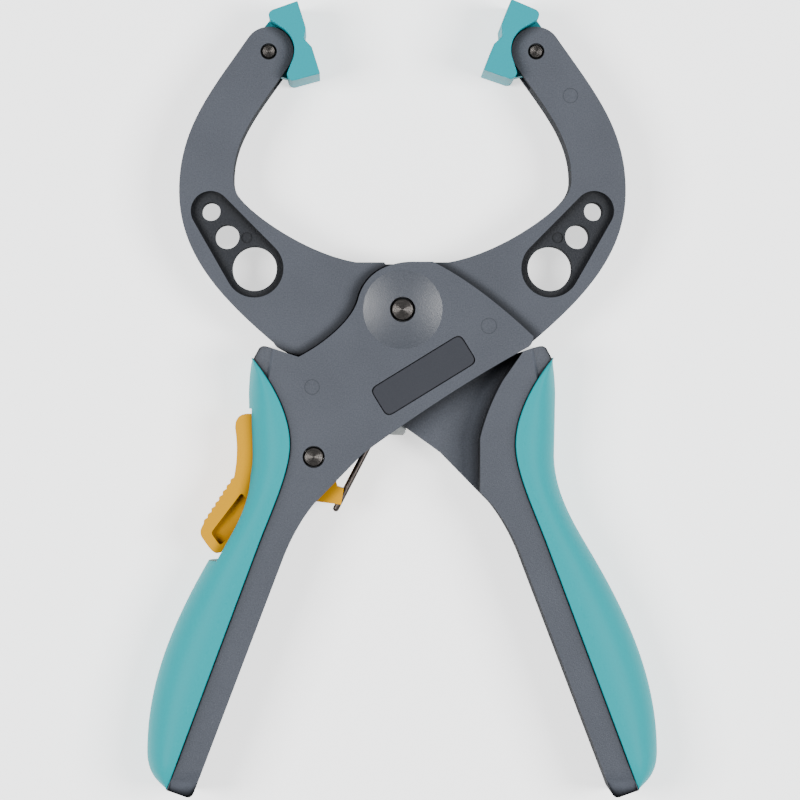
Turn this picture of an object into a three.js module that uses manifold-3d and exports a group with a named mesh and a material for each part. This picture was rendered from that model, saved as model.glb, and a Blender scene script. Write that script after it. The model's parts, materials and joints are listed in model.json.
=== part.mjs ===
// Ratchet spring clamp: two crossed levers on one pivot, with swivelling pads on the jaws,
// soft grips on the handles and a thumb lever that lets the ratchet go.
// Millimetres. The clamp lies flat on its back: +Z is its thickness, +Y points to the jaws,
// and the origin is where the pivot's axis meets the surface that it lies on.
import * as THREE from 'three';
import { mergeVertices } from 'three/addons/utils/BufferGeometryUtils.js';
import Module from 'manifold-3d';

const wasm = await Module();
wasm.setup();

// ---------------------------------------------------------------- driving dimensions
// Levers. Both are the same moulding, one turned over on the other. X and Y are measured
// from the pivot on the front lever, whose handle is on the left and whose jaw is on the right.
const hub_depth = 24; // through both hub halves, and the handles
const jaw_depth = 14;
const grip_proud = 1; // how far each grip stands over the handle's face
const grip_depth = hub_depth + 2 * grip_proud;
const hub_radius = 13.8;
const throat_y = 14.4; // bottom of the mouth between the jaws
const jaw_bow_x = 67.8; // how far the jaw bows out
const elbow_x = 51.3; // inner corner of the jaw
const nose_radius = 7.5;
const nose_lean = 55.2; // degrees, slope of the jaw behind its nose
const pad_pin = { x: 40.6, y: 78.4, radius: 2.15 };
const stop = { x: 38.2, y: -10.8 }; // heel of the jaw, which meets the other handle when open
const handle_end = { x: -64, y: -148 }; // inner corner of the handle's end
const handle_bow_x = -77.8; // how far the handle bows out
const flare = { x: -59.8, y: -77.6 }; // where the handle widens below the thumb lever
const waist_x = -46.4; // outside of the handle above that
const edge_chamfer = 0.8;
const fork_reach = 3.4; // how far the fork runs back past the nose
const heel_from = 110; // degrees, where the heel ends over the hub
const heel_end_x = 6.2;
const crown_end_x = 9; // where the round top of the hub meets the throat

// Clearances
const lap_gap = 0.4; // between the two hub halves
const flank_gap = 0.5; // round the hub, where the other lever's heel passes
const seat_gap = 0.3; // between pieces fixed to each other
const run_gap = 0.35; // between pieces that move on each other
const open_gap = 0.6; // left between heel and handle when the clamp is fully open

// Pivot
const dish = { radius: 12, depth: 1.5 };
const rivet_radius = 3.4;
const rivet_head = { radius: 6, depth: 1.7 };
const sleeve_wall = 0.9;
const spring_wire = 1.9; // wire diameter of the opening spring
const spring_turns = 5.5;
const spring_pitch = 2.35;
const spring_radius = 7.4; // to the middle of the wire
const spring_leg = 11;
const spring_well_radius = 9.8;

// Jaw pocket with its three holes, from the large one by the hub to the small one
const pocket_depth = 3;
const pocket_rim = 2.1; // of pocket floor round the large hole
const pocket_tip_rim = 3.2; // of pocket floor round the small hole
const holes = [
  { x: 45.0, y: 12.6, radius: 6.8 },
  { x: 53.3, y: 22.3, radius: 3.7 },
  { x: 58.2, y: 30.0, radius: 2.85 },
];

// Name plate, left blank
const badge = { x: 6.3, y: -20, length: 31.6, width: 9.6, corner: 2.2, turn: 31.6, depth: 0.9 };

// Grips
const grip_skin = 3; // wall of the grip outside the handle's core
const core_cover = 2.6; // how far the core lies under the handle's face
const grip_end = 7.4; // width of bare handle at its end
const grip_edge = 3; // rounding of the grip's outer edges
const grip_relief = { depth: 2.3, from_y: -47, to_y: -76.3 }; // front grip, by the thumb lever

// Pads, about their pins: the face is pad_reach away
const pad_depth = 24;
const pad_wing = 4; // how far the pad reaches past the nose at each end
const pad_length = 2 * (nose_radius + pad_wing);
const pad_thickness = 5.3; // in front of the nose
const pad_reach = nose_radius + pad_thickness;
const pad_shoulder = 3.1; // from the pin to the back corners of the pad, towards the face
const pad_heel = 0.75; // width of the pad's back beside the saddle
const pad_web = 6; // tongue in the jaw's fork
const pad_boss_radius = 6;
const pad_groove = { width: 6.2, depth: 1.5 };
const pad_turn = { left: 17.3, right: 158.7 }; // degrees, where each face looks

// Ratchet
const sector_radius = 38.2; // to the tips of the teeth
const sector_arm_radius = sector_radius - 5.2; // of the arm, behind the toothed head
const sector_inner = sector_arm_radius - 12;
const sector_thickness = 2.6;
const sector_sink = 1.9; // from the middle plane to the sector's front face
const tooth_pitch = 2; // degrees
const tooth_height = 1.2;
const sector_from = -131; // degrees, leading end
const teeth_to = -97;
const sector_to = -88;
const sector_arm_to = -37;
const sector_rivets = { radius: 1.6, head: 3, ring: sector_arm_radius - 5, angles: [-62, -44] };
const rivet_cap = 1.2; // thickness of a sector rivet's head

// Thumb lever with its pawl and return spring
const thumb_width = 12;
const thumb_pin = { x: -26.9, y: -44.6, radius: 3 };
const thumb_boss_radius = 6.2;
const hollow_depth = 3; // of the hollow in each side of the finger pad
const pawl_angle = -137; // degrees round the pivot, where the pawl meets the sector
const arm_gap = 1.3; // between the pawl's arm and the tips of the teeth
const pawl_pins = [[-31.5, -33], [-30, -37.5]];
const pawl_pin_radius = 0.9;
const rib_count = 8;
const rib_height = 0.7;
const wire_radius = 0.95;
const wire_z = 3.2; // height of the return spring over the middle plane
const wire_root = { x: -4.2, y: -29.6 };
const wire_tip = { x: -20.6, y: -61.3 };

const curve_steps = 6; // straight pieces in each curve of an outline
const rest_height = grip_depth / 2; // from the surface it lies on to its middle plane

// ---------------------------------------------------------------- helpers
const half = (whole) => whole / 2;
const radians = (degrees) => THREE.MathUtils.degToRad(degrees);
const polar = (radius, degrees) => ({
  x: radius * Math.cos(radians(degrees)),
  y: radius * Math.sin(radians(degrees)),
});

// A closed geometry as a solid that can be cut and joined.
function solid(geometry) {
  geometry.deleteAttribute('normal');
  geometry.deleteAttribute('uv');
  const merged = mergeVertices(geometry);
  return new wasm.Manifold(new wasm.Mesh({
    numProp: 3,
    vertProperties: Float32Array.from(merged.attributes.position.array),
    triVerts: Uint32Array.from(merged.index.array),
  }));
}

// A solid's triangles as a geometry.
function geometry(body) {
  const mesh = body.getMesh();
  const result = new THREE.BufferGeometry();
  result.setAttribute('position', new THREE.BufferAttribute(mesh.vertProperties, mesh.numProp));
  result.setIndex(new THREE.BufferAttribute(mesh.triVerts, 1));
  return result;
}

// A flat shape given thickness from z0 to z1, with chamfered edges where asked.
function plate(shape, z0, z1, chamfer = 0, rounds = 1) {
  const raw = new THREE.ExtrudeGeometry(shape, {
    depth: z1 - z0 - 2 * chamfer,
    curveSegments: curve_steps,
    bevelEnabled: chamfer > 0,
    bevelThickness: chamfer,
    bevelSize: chamfer,
    bevelOffset: -chamfer,
    bevelSegments: rounds,
  });
  return solid(raw.translate(0, 0, z0 + chamfer));
}

// An upright cylinder about (x, y).
function drum(x, y, radius, z0, z1, sides = 28) {
  const raw = new THREE.CylinderGeometry(radius, radius, z1 - z0, sides);
  return solid(raw.rotateX(Math.PI / 2).translate(x, y, half(z0 + z1)));
}

// A closed outline through corners, each cut off by its own rounding: [x, y, rounding].
function rounded(corners) {
  const shape = new THREE.Shape();
  corners.forEach(([x, y, rounding = 0], i) => {
    const here = new THREE.Vector2(x, y);
    const before = corners.at(i - 1);
    const after = corners[(i + 1) % corners.length];
    const start = here.clone().add(
      new THREE.Vector2(before[0] - x, before[1] - y).setLength(rounding));
    const end = here.clone().add(
      new THREE.Vector2(after[0] - x, after[1] - y).setLength(rounding));
    if (i === 0) shape.moveTo(start.x, start.y);
    else shape.lineTo(start.x, start.y);
    if (rounding > 0) shape.quadraticCurveTo(x, y, end.x, end.y);
  });
  shape.closePath();
  return shape;
}

// The outline round two circles and the straight edges that touch both.
function teardrop(a, b) {
  const facing = Math.atan2(b.y - a.y, b.x - a.x);
  const spread = Math.acos((a.radius - b.radius) / Math.hypot(b.x - a.x, b.y - a.y));
  const shape = new THREE.Shape();
  shape.absarc(a.x, a.y, a.radius, facing + spread, facing - spread + 2 * Math.PI);
  shape.absarc(b.x, b.y, b.radius, facing - spread, facing + spread);
  return shape;
}

function named(name, body, material) {
  const mesh = new THREE.Mesh(body.isBufferGeometry ? body : geometry(body), material);
  mesh.name = name;
  return mesh;
}

// ---------------------------------------------------------------- lever outlines
const jaw_rise = pad_pin.y - throat_y;
const lean = polar(1, -nose_lean); // along the jaw, away from its nose
const handle_root = { x: -31.5, y: stop.y - 3.6 }; // where the flank meets the handle
const crown_from = 112; // degrees, where the hub's face rises from the circle to the throat
const crown_cut_to = 66; // degrees, where the room for the other lever's heel ends
const flank_to = 165; // degrees, where the flank leaves the circle

// The hub's flank runs round the hub and sweeps out to the root of the handle. The other
// lever's heel has the same flank, one gap further out. Drawn from its outer end inwards.
function flankInwards(shape, gap, side) {
  const radius = hub_radius + gap;
  const leave = polar(radius, flank_to);
  shape.lineTo(side * handle_root.x, handle_root.y + gap);
  shape.bezierCurveTo(
    side * (handle_root.x + 9), handle_root.y + 4.7 + gap,
    side * (leave.x - 1.3), leave.y - 6.1,
    side * leave.x, leave.y);
  const from = side > 0 ? flank_to : 180 - flank_to;
  const to = side > 0 ? crown_from : 180 - heel_from;
  shape.absarc(0, 0, radius, radians(from), radians(to), side > 0);
}

// Jaw with its nose, bow and heel, in as far as the middle of the hub.
function jawShape() {
  const shape = new THREE.Shape();
  const outer = { x: pad_pin.x - nose_radius * lean.y, y: pad_pin.y + nose_radius * lean.x };
  const inner = { x: pad_pin.x + nose_radius * lean.y, y: pad_pin.y - nose_radius * lean.x };
  const bow = { x: jaw_bow_x, y: throat_y + 0.34 * jaw_rise };
  const elbow = { x: elbow_x, y: throat_y + 0.37 * jaw_rise };
  const pull = 0.3 * jaw_rise;
  const heading = radians(-nose_lean);
  shape.moveTo(heel_end_x, throat_y);
  shape.lineTo(0, hub_radius - 2);
  shape.lineTo(0, -hub_radius);
  shape.lineTo(-handle_root.x - 6, handle_root.y + 2.3);
  shape.quadraticCurveTo(-handle_root.x, handle_root.y + open_gap, stop.x - 3, stop.y - 1.9);
  shape.lineTo(stop.x, stop.y);
  shape.bezierCurveTo(
    stop.x + 17, stop.y + 14.3, bow.x, bow.y - pull, bow.x, bow.y);
  shape.bezierCurveTo(
    bow.x, bow.y + pull, outer.x + pull * lean.x, outer.y + pull * lean.y, outer.x, outer.y);
  shape.absarc(pad_pin.x, pad_pin.y, nose_radius,
    heading + Math.PI / 2, heading + 1.5 * Math.PI);
  shape.bezierCurveTo(
    inner.x + 0.24 * jaw_rise * lean.x, inner.y + 0.24 * jaw_rise * lean.y,
    elbow.x + 0.2, elbow.y + 0.22 * jaw_rise, elbow.x, elbow.y + 1.5);
  shape.quadraticCurveTo(elbow.x + 0.1, elbow.y - 1, elbow.x - 1.4, elbow.y - 3.4);
  shape.bezierCurveTo(
    elbow.x - 5, throat_y + 0.23 * jaw_rise, elbow.x - 22, throat_y + 2.6, 14, throat_y);
  shape.closePath();
  return shape;
}

// Outer edge of the handle from its end up to its waist, moved inwards by inset.
function backEdge(shape, inset) {
  const bow = { x: handle_bow_x + inset, y: handle_end.y + 13.5 };
  const low = { x: flare.x + inset, y: flare.y };
  const waist = waist_x + inset;
  shape.quadraticCurveTo(bow.x, bow.y - 8 + inset, bow.x, bow.y);
  shape.bezierCurveTo(bow.x, bow.y + 20, low.x - 10.9, low.y - 19.1, low.x, low.y);
  shape.bezierCurveTo(low.x + 5.9, low.y + 10.4, waist, flare.y + 20.6, waist, flare.y + 33.6);
  shape.lineTo(waist - 0.4, stop.y - 15);
}

// Handle and hub in one bar, as far as the crease where the thinner jaw starts.
function barShape() {
  const shape = new THREE.Shape();
  const end = handle_end;
  shape.moveTo(crown_end_x, throat_y);
  shape.quadraticCurveTo(23, 7.5, stop.x + 1.3, stop.y + 2.6);
  shape.quadraticCurveTo(stop.x + 1.1, stop.y - 0.2, stop.x - 0.8, stop.y - 0.9);
  shape.quadraticCurveTo(14, -24.5, -12, -43.6);
  shape.lineTo(-27, -59);
  shape.quadraticCurveTo(-33, -66.5, -36.8, -77);
  shape.lineTo(end.x + 1, end.y + 2.2);
  shape.quadraticCurveTo(end.x + 0.2, end.y, end.x - 1.5, end.y + 0.5);
  shape.lineTo(end.x - grip_end, end.y + 2.6);
  backEdge(shape, 0);
  shape.quadraticCurveTo(waist_x - 0.2, stop.y - 8, waist_x + 1.2, stop.y - 4.2);
  shape.lineTo(waist_x + 3, stop.y - 0.9);
  shape.quadraticCurveTo(waist_x + 4, stop.y + 0.2, waist_x + 6, stop.y - 0.6);
  flankInwards(shape, 0, 1);
  const crown = polar(hub_radius, crown_from);
  const turn_x = crown.x - (throat_y - crown.y) * Math.tan(radians(crown_from));
  shape.quadraticCurveTo(turn_x, throat_y, 2 * turn_x - crown.x, throat_y);
  shape.closePath();
  return shape;
}

// Everything on the lever's back that the other lever's hub half needs, with the room
// that it swings in. All of it gives the part past the jaw's thickness.
function lapShape(all) {
  const shape = new THREE.Shape();
  const far = 2 * jaw_bow_x;
  shape.moveTo(-46, far);
  shape.lineTo(-38.5, stop.y + 1);
  shape.lineTo(-30.3, -21.5);
  shape.quadraticCurveTo(-25.5, -30, -23.4, -39);
  shape.lineTo(-23.4, -far);
  shape.lineTo(far, -far);
  if (all) {
    shape.lineTo(far, far);
  } else {
    shape.lineTo(far, stop.y - 0.9);
    shape.lineTo(stop.x - 0.8, stop.y - 0.9);
    shape.lineTo(stop.x - 3, stop.y - 1.9);
    flankInwards(shape, flank_gap, -1);
    shape.lineTo(heel_end_x, throat_y + 1);
    shape.lineTo(heel_end_x, far);
  }
  shape.closePath();
  return shape;
}

// What is cut off under the hub's face, where the other lever's heel passes over its round top.
function crownShape() {
  const shape = new THREE.Shape();
  shape.moveTo(crown_end_x, throat_y);
  shape.lineTo(crown_end_x, 2 * throat_y);
  shape.lineTo(-throat_y, 2 * throat_y);
  shape.lineTo(-throat_y, 0.8 * hub_radius);
  shape.absarc(0, 0, hub_radius, radians(125), radians(crown_cut_to), true);
  shape.closePath();
  return shape;
}

// The border between grip and handle, drawn from the top of the grip down to its end.
const grip_head = { x: waist_x + 0.8, y: stop.y - 3.8 };
const grip_foot = { x: handle_end.x - grip_end, y: handle_end.y + 2.6 };
function gripBorder(shape, gap) {
  shape.moveTo(grip_head.x + gap, grip_head.y);
  shape.bezierCurveTo(-40.5 + gap, -20.5, -34.1 + gap, -31, -34.1 + gap, -40.8);
  shape.bezierCurveTo(-34.1 + gap, -49, -39.5 + gap, -60.5, -43.1 + gap, -69.8);
  shape.lineTo(grip_foot.x + gap, grip_foot.y);
}

function gripShape() {
  const shape = new THREE.Shape();
  gripBorder(shape, 0);
  backEdge(shape, 0);
  shape.quadraticCurveTo(waist_x - 0.3, stop.y - 8, grip_head.x, grip_head.y);
  return shape;
}

// A block whose left side is the back of the handle, to round the grip's outer edges by.
function roundedBackShape() {
  const shape = new THREE.Shape();
  shape.moveTo(grip_foot.x, grip_foot.y);
  backEdge(shape, 0);
  shape.quadraticCurveTo(waist_x - 0.3, stop.y - 8, grip_head.x, grip_head.y);
  shape.lineTo(waist_x + 6, stop.y + 8);
  shape.lineTo(0, stop.y + 8);
  shape.lineTo(0, handle_end.y - 12);
  shape.lineTo(handle_end.x + 2, handle_end.y - 4);
  shape.closePath();
  return shape;
}

// What the grip's bed takes away from the handle.
function gripBedShape() {
  const shape = new THREE.Shape();
  const far = handle_bow_x - 20;
  gripBorder(shape, seat_gap);
  shape.lineTo(grip_foot.x + seat_gap, 2 * handle_end.y);
  shape.lineTo(far, 2 * handle_end.y);
  shape.lineTo(far, grip_head.y + seat_gap);
  shape.closePath();
  return shape;
}

// The handle's core under the grip, bigger by gap.
function coreShape(gap) {
  const shape = new THREE.Shape();
  const inset = grip_skin - gap;
  shape.moveTo(-40.5, stop.y - 10 + gap);
  shape.lineTo(-30, -40);
  shape.lineTo(-39, -72);
  shape.lineTo(handle_end.x - 3, handle_end.y + 14 - gap);
  shape.lineTo(handle_bow_x + 8, handle_end.y + 10 - gap);
  backEdge(shape, inset);
  shape.lineTo(waist_x + inset, stop.y - 13);
  shape.closePath();
  return shape;
}

// ---------------------------------------------------------------- thumb lever outlines
// The pawl's arm ends in two corners just off the tips of the teeth.
const arm_tip = polar(sector_radius + arm_gap, pawl_angle + 4);
const arm_brow = polar(sector_radius + arm_gap, pawl_angle - 6);

// The slot through the front handle that the thumb lever works in.
function thumbSlotShape() {
  return rounded([
    [-72, -30, 0], [-42, -30, 0], [arm_brow.x - 6, arm_brow.y - 1.2, 0],
    [arm_brow.x + 4.5, arm_brow.y + 1.3, 0], [arm_tip.x + 4.4, arm_tip.y - 2.1, 0],
    [-18.6, -40, 0], [-15, -47, 0], [-15, -66, 0], [-31.5, -60.8, 3], [-43, -73, 2],
    [-49.5, -81.5, 1], [-56.8, -79.4, 1], [-59.2, grip_relief.to_y, 0],
    [-72, grip_relief.to_y, 0],
  ]);
}

// Finger pad with its ribs, the boss round the pin, the arm for the pawl and the spring tab.
function thumbShape() {
  const shape = new THREE.Shape();
  const first = new THREE.Vector2(-51.2, -51);
  const last = new THREE.Vector2(-60.4, -65);
  const rib = last.clone().sub(first).divideScalar(rib_count);
  const out = new THREE.Vector2(rib.y, -rib.x).setLength(rib_height);
  shape.moveTo(-46.2, -31.6);
  shape.quadraticCurveTo(-50.9, -31.2, -50.8, -36);
  shape.quadraticCurveTo(-49.6, -43.5, first.x, first.y);
  for (let i = 0; i < rib_count; i += 1) {
    const foot = first.clone().addScaledVector(rib, i);
    shape.lineTo(foot.x + out.x + 0.3 * rib.x, foot.y + out.y + 0.3 * rib.y);
    shape.lineTo(foot.x + out.x + 0.7 * rib.x, foot.y + out.y + 0.7 * rib.y);
    shape.lineTo(foot.x + rib.x, foot.y + rib.y);
  }
  shape.quadraticCurveTo(-62.2, -67.6, -60.6, -69.6);
  shape.lineTo(-56.6, -74.6);
  shape.lineTo(-54.6, -73.4);
  shape.quadraticCurveTo(-44, -66, -39, -58);
  shape.lineTo(-31, -53.6);
  // spring tab
  shape.lineTo(-26.4, -58.2);
  shape.lineTo(-18.6, -59.2);
  shape.lineTo(-17.8, -54.3);
  shape.lineTo(-19.7, -53.7);
  shape.lineTo(-20.3, -51.6);
  // boss and pawl arm
  const boss = { from: radians(-38), to: radians(40) };
  shape.absarc(thumb_pin.x, thumb_pin.y, thumb_boss_radius, boss.from, boss.to);
  shape.lineTo(-25.2, -33.5);
  shape.lineTo(arm_tip.x, arm_tip.y);
  shape.lineTo(arm_brow.x, arm_brow.y);
  shape.lineTo(-38, -28.6);
  shape.lineTo(-41.5, -31.6);
  shape.closePath();
  return shape;
}

// Steel pawl: its point stands a running gap off the teeth.
function pawlShape(gap) {
  const point = polar(sector_radius + run_gap - gap, pawl_angle);
  const shape = new THREE.Shape();
  shape.moveTo(point.x - gap, point.y);
  shape.lineTo(point.x - 5.4 - gap, point.y - 3.4);
  shape.lineTo(-35 - gap, -38.8 - gap);
  shape.lineTo(-28.6 + gap, -40.6 - gap);
  shape.lineTo(point.x + 0.9 + gap, point.y - 3 + gap);
  shape.closePath();
  return shape;
}

// ---------------------------------------------------------------- ratchet sector outline
function sectorShape(gap) {
  const shape = new THREE.Shape();
  const outer = sector_radius + gap;
  const inner = sector_inner - gap;
  const root = outer - tooth_height;
  const slack = (gap / sector_inner) * (180 / Math.PI);
  const start = polar(inner, sector_from - slack);
  shape.moveTo(start.x, start.y);
  const count = gap > 0 ? 0 : Math.round((teeth_to - sector_from) / tooth_pitch);
  for (let i = 0; i < count; i += 1) {
    const angle = sector_from + i * tooth_pitch;
    const foot = polar(root, angle);
    const tip = polar(outer, angle + 0.8 * tooth_pitch);
    shape.lineTo(foot.x, foot.y);
    shape.lineTo(tip.x, tip.y);
  }
  const plain_from = gap > 0 ? sector_from - slack : teeth_to;
  shape.absarc(0, 0, outer, radians(plain_from), radians(sector_to - 1.5 + slack));
  const corner = polar(outer - 1, sector_to + slack);
  shape.lineTo(corner.x, corner.y);
  shape.absarc(0, 0, sector_arm_radius + gap, radians(sector_to + slack),
    radians(sector_arm_to + slack));
  shape.absarc(0, 0, inner, radians(sector_arm_to + slack), radians(sector_from - slack), true);
  shape.closePath();
  return shape;
}

// ---------------------------------------------------------------- solids
const hub_top = half(hub_depth);
const jaw_top = half(jaw_depth);
const grip_top = half(grip_depth);
const lap_top = half(lap_gap);
const core_top = hub_top - core_cover;
const thumb_top = half(thumb_width);
const slot_top = thumb_top + run_gap;
const sector_top = -sector_sink;
const sector_bottom = sector_top - sector_thickness;
const beyond = 40; // how far a cutter reaches past what it cuts

// A shallow dished hollow, its rim level with z = 0.
function dishCutter() {
  const profile = [new THREE.Vector2(0, -dish.depth)];
  for (let i = 1; i <= 4; i += 1) {
    const radius = (dish.radius * i) / 4;
    profile.push(new THREE.Vector2(radius, -dish.depth * (1 - (i / 4) ** 2)));
  }
  profile.push(new THREE.Vector2(dish.radius, beyond), new THREE.Vector2(0, beyond));
  return solid(new THREE.LatheGeometry(profile, 32).rotateX(Math.PI / 2));
}

function badgeBody(gap, z0, z1) {
  const x = half(badge.length) + gap;
  const y = half(badge.width) + gap;
  const r = badge.corner;
  const outline = rounded([[x, y, r], [-x, y, r], [-x, -y, r], [x, -y, r]]);
  return plate(outline, z0, z1).rotate([0, 0, badge.turn]).translate([badge.x, badge.y, 0]);
}

// One jaw pocket on each face, and the three holes between them.
function pocketCutters() {
  const [large, , small] = holes;
  const outline = teardrop(
    { ...large, radius: large.radius + pocket_rim },
    { ...small, radius: small.radius + pocket_tip_rim });
  const floor = jaw_top - pocket_depth;
  const front = plate(outline, floor, beyond);
  const back = plate(outline, -beyond, -floor);
  return holes.reduce(
    (cutter, hole) => cutter.add(drum(hole.x, hole.y, hole.radius, -beyond, beyond, 32)),
    front.add(back));
}

// Straight bore or wire from one point to another.
function rod(from, to, radius, z, sides = 12) {
  const length = Math.hypot(to.x - from.x, to.y - from.y);
  const raw = new THREE.CylinderGeometry(radius, radius, length, sides);
  const turn = Math.atan2(to.y - from.y, to.x - from.x) - Math.PI / 2;
  raw.rotateZ(turn).translate(half(from.x + to.x), half(from.y + to.y), z);
  return solid(raw);
}

// The moulding that both levers share, hub half upwards.
function leverBody() {
  const bar = plate(barShape(), -hub_top, hub_top, edge_chamfer);
  const bed = plate(gripBedShape(), -beyond, beyond);
  const core = plate(coreShape(0), -core_top, core_top);
  const jaw = plate(jawShape(), -jaw_top, jaw_top, edge_chamfer);
  const fork = drum(pad_pin.x, pad_pin.y, nose_radius + fork_reach,
    -half(pad_web) - run_gap, half(pad_web) + run_gap);
  const well_top = half(spring_pitch * spring_turns) + spring_wire + 0.4;
  const leg = new THREE.BoxGeometry(spring_wire + 2 * run_gap, spring_leg + 1, well_top)
    .translate(spring_radius, -half(spring_leg + 1), half(well_top));
  return bar.subtract(bed).add(core).add(jaw)
    .subtract(plate(lapShape(false), -beyond, lap_top))
    .subtract(plate(lapShape(true), -beyond, -jaw_top))
    .subtract(plate(crownShape(), lap_top, jaw_top + run_gap))
    .subtract(fork)
    .subtract(drum(pad_pin.x, pad_pin.y, pad_pin.radius + run_gap, -beyond, beyond, 20))
    .subtract(pocketCutters())
    .subtract(drum(0, 0, rivet_radius + run_gap, -beyond, beyond))
    .subtract(drum(0, 0, spring_well_radius, -beyond, well_top))
    .subtract(solid(leg))
    .subtract(dishCutter().translate([0, 0, hub_top]))
    .subtract(badgeBody(seat_gap, hub_top - badge.depth, beyond));
}

function frontLeverBody() {
  const sweep = new THREE.Shape();
  sweep.moveTo(0, 0);
  sweep.absarc(0, 0, sector_radius + 2 * run_gap, Math.PI, radians(sector_to + 360));
  const bore = rod(wire_root, wire_tip, wire_radius + run_gap, wire_z);
  return leverBody()
    .subtract(plate(thumbSlotShape(), -slot_top, slot_top))
    .subtract(plate(sweep, sector_bottom - run_gap, sector_top + run_gap))
    .subtract(bore)
    .subtract(drum(thumb_pin.x, thumb_pin.y, thumb_pin.radius + run_gap, -beyond, beyond));
}

// The rear lever holds the ratchet sector in a pocket and two rivets. It is drawn as the
// front lever is, so what is fixed to it here is mirrored.
function rearLeverBody() {
  const pocket = plate(sectorShape(seat_gap), sector_bottom - seat_gap, sector_top + seat_gap)
    .rotate([0, 180, 0]);
  const bores = sector_rivets.angles.map((angle) => {
    const at = polar(sector_rivets.ring, 180 - angle);
    return drum(at.x, at.y, sector_rivets.radius + seat_gap, 0, beyond, 16)
      .subtract(drum(at.x, at.y, beyond, -beyond, -sector_bottom))
      .add(drum(at.x, at.y, sector_rivets.head + seat_gap, hub_top - rivet_cap - seat_gap,
        beyond, 20));
  });
  return bores.reduce((body, bore) => body.subtract(bore), leverBody().subtract(pocket));
}

function gripBody(slotted) {
  const skin = plate(gripShape(), -grip_top, grip_top)
    .intersect(plate(roundedBackShape(), -grip_top, grip_top, grip_edge, 2))
    .subtract(plate(coreShape(seat_gap), -core_top - seat_gap, core_top + seat_gap));
  if (!slotted) return skin;
  const relief = new THREE.Shape();
  const { depth, from_y, to_y } = grip_relief;
  relief.moveTo(waist_x - 20, from_y);
  relief.lineTo(waist_x, from_y);
  relief.bezierCurveTo(waist_x + depth - 0.7, from_y - 11, flare.x + depth + 5.9, to_y + 8.8,
    flare.x + depth + 1.1, to_y);
  relief.lineTo(flare.x - 20, to_y);
  relief.closePath();
  return skin
    .subtract(plate(thumbSlotShape(), -slot_top, slot_top))
    .subtract(plate(relief, -beyond, beyond));
}

function thumbBody() {
  const hollow = rounded([
    [-48.8, -55.5, 0.8], [-58.2, -67.8, 1], [-55.4, -71.6, 1], [-44.5, -62, 1],
  ]);
  const bore = rod(wire_root, wire_tip, wire_radius + run_gap, wire_z);
  const notch = [1, 2].reduce((cut, step) => cut.add(bore.translate([step, 0, 0])), bore);
  const body = plate(thumbShape(), -thumb_top, thumb_top, 0)
    .subtract(plate(hollow, thumb_top - hollow_depth, beyond))
    .subtract(plate(hollow, -beyond, hollow_depth - thumb_top))
    .subtract(notch)
    .subtract(drum(thumb_pin.x, thumb_pin.y, thumb_pin.radius + run_gap, -beyond, beyond))
    .subtract(plate(pawlShape(seat_gap), sector_bottom - seat_gap, sector_top + seat_gap));
  return pawl_pins.reduce((cut, [x, y]) => cut.subtract(
    drum(x, y, pawl_pin_radius + seat_gap, -beyond, beyond, 12)), body);
}

function pawlBody() {
  return pawl_pins.reduce(
    (cut, [x, y]) => cut.subtract(drum(x, y, pawl_pin_radius + seat_gap, -beyond, beyond, 12)),
    plate(pawlShape(0), sector_bottom, sector_top));
}

function sectorBody() {
  return sector_rivets.angles.reduce((cut, angle) => {
    const at = polar(sector_rivets.ring, angle);
    return cut.subtract(drum(at.x, at.y, sector_rivets.radius + seat_gap, -beyond, beyond, 16));
  }, plate(sectorShape(0), sector_bottom, sector_top));
}

// Pad with its pin at the origin and its face looking along +X.
function padBody() {
  const y = half(pad_length);
  const groove = half(pad_groove.width);
  const saddle = nose_radius + run_gap;
  const wing = new THREE.Shape();
  wing.moveTo(pad_reach, -y);
  wing.lineTo(pad_reach, -groove);
  wing.lineTo(pad_reach - pad_groove.depth, 0);
  wing.lineTo(pad_reach, groove);
  wing.lineTo(pad_reach, y);
  wing.lineTo(pad_shoulder + 1.6, y - 0.3);
  wing.quadraticCurveTo(pad_shoulder, y - 0.6, pad_shoulder, y - 2.2);
  const heel = { x: pad_shoulder, y: saddle + pad_heel };
  const turn = Math.atan2(heel.y, heel.x) - Math.acos(saddle / Math.hypot(heel.x, heel.y));
  wing.lineTo(heel.x, heel.y);
  wing.absarc(0, 0, saddle, turn, -turn, true);
  wing.lineTo(heel.x, -heel.y);
  wing.lineTo(pad_shoulder, 2.2 - y);
  wing.quadraticCurveTo(pad_shoulder, 0.6 - y, pad_shoulder + 1.6, 0.3 - y);
  wing.closePath();
  const spread = Math.acos(pad_boss_radius / Math.hypot(pad_shoulder, y - 2.2));
  const corner = Math.atan2(y - 2.2, pad_shoulder);
  const web = new THREE.Shape();
  web.moveTo(pad_reach - 3, 2.2 - y);
  web.lineTo(pad_reach - 3, y - 2.2);
  web.lineTo(pad_shoulder, y - 2.2);
  web.absarc(0, 0, pad_boss_radius, corner + spread, 2 * Math.PI - corner - spread);
  web.lineTo(pad_shoulder, 2.2 - y);
  web.closePath();
  return plate(wing, -half(pad_depth), half(pad_depth), 0.5)
    .add(plate(web, -half(pad_web), half(pad_web)))
    .subtract(drum(0, 0, pad_pin.radius + run_gap, -beyond, beyond, 20));
}

// A turned pin with both ends chamfered.
function pinBody(radius, z0, z1, sides = 20, chamfer = 0.4) {
  const profile = [[0, z0], [radius - chamfer, z0], [radius, z0 + chamfer],
    [radius, z1 - chamfer], [radius - chamfer, z1], [0, z1]];
  const points = profile.map(([x, y]) => new THREE.Vector2(x, y));
  return solid(new THREE.LatheGeometry(points, sides).rotateX(Math.PI / 2));
}

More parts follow.
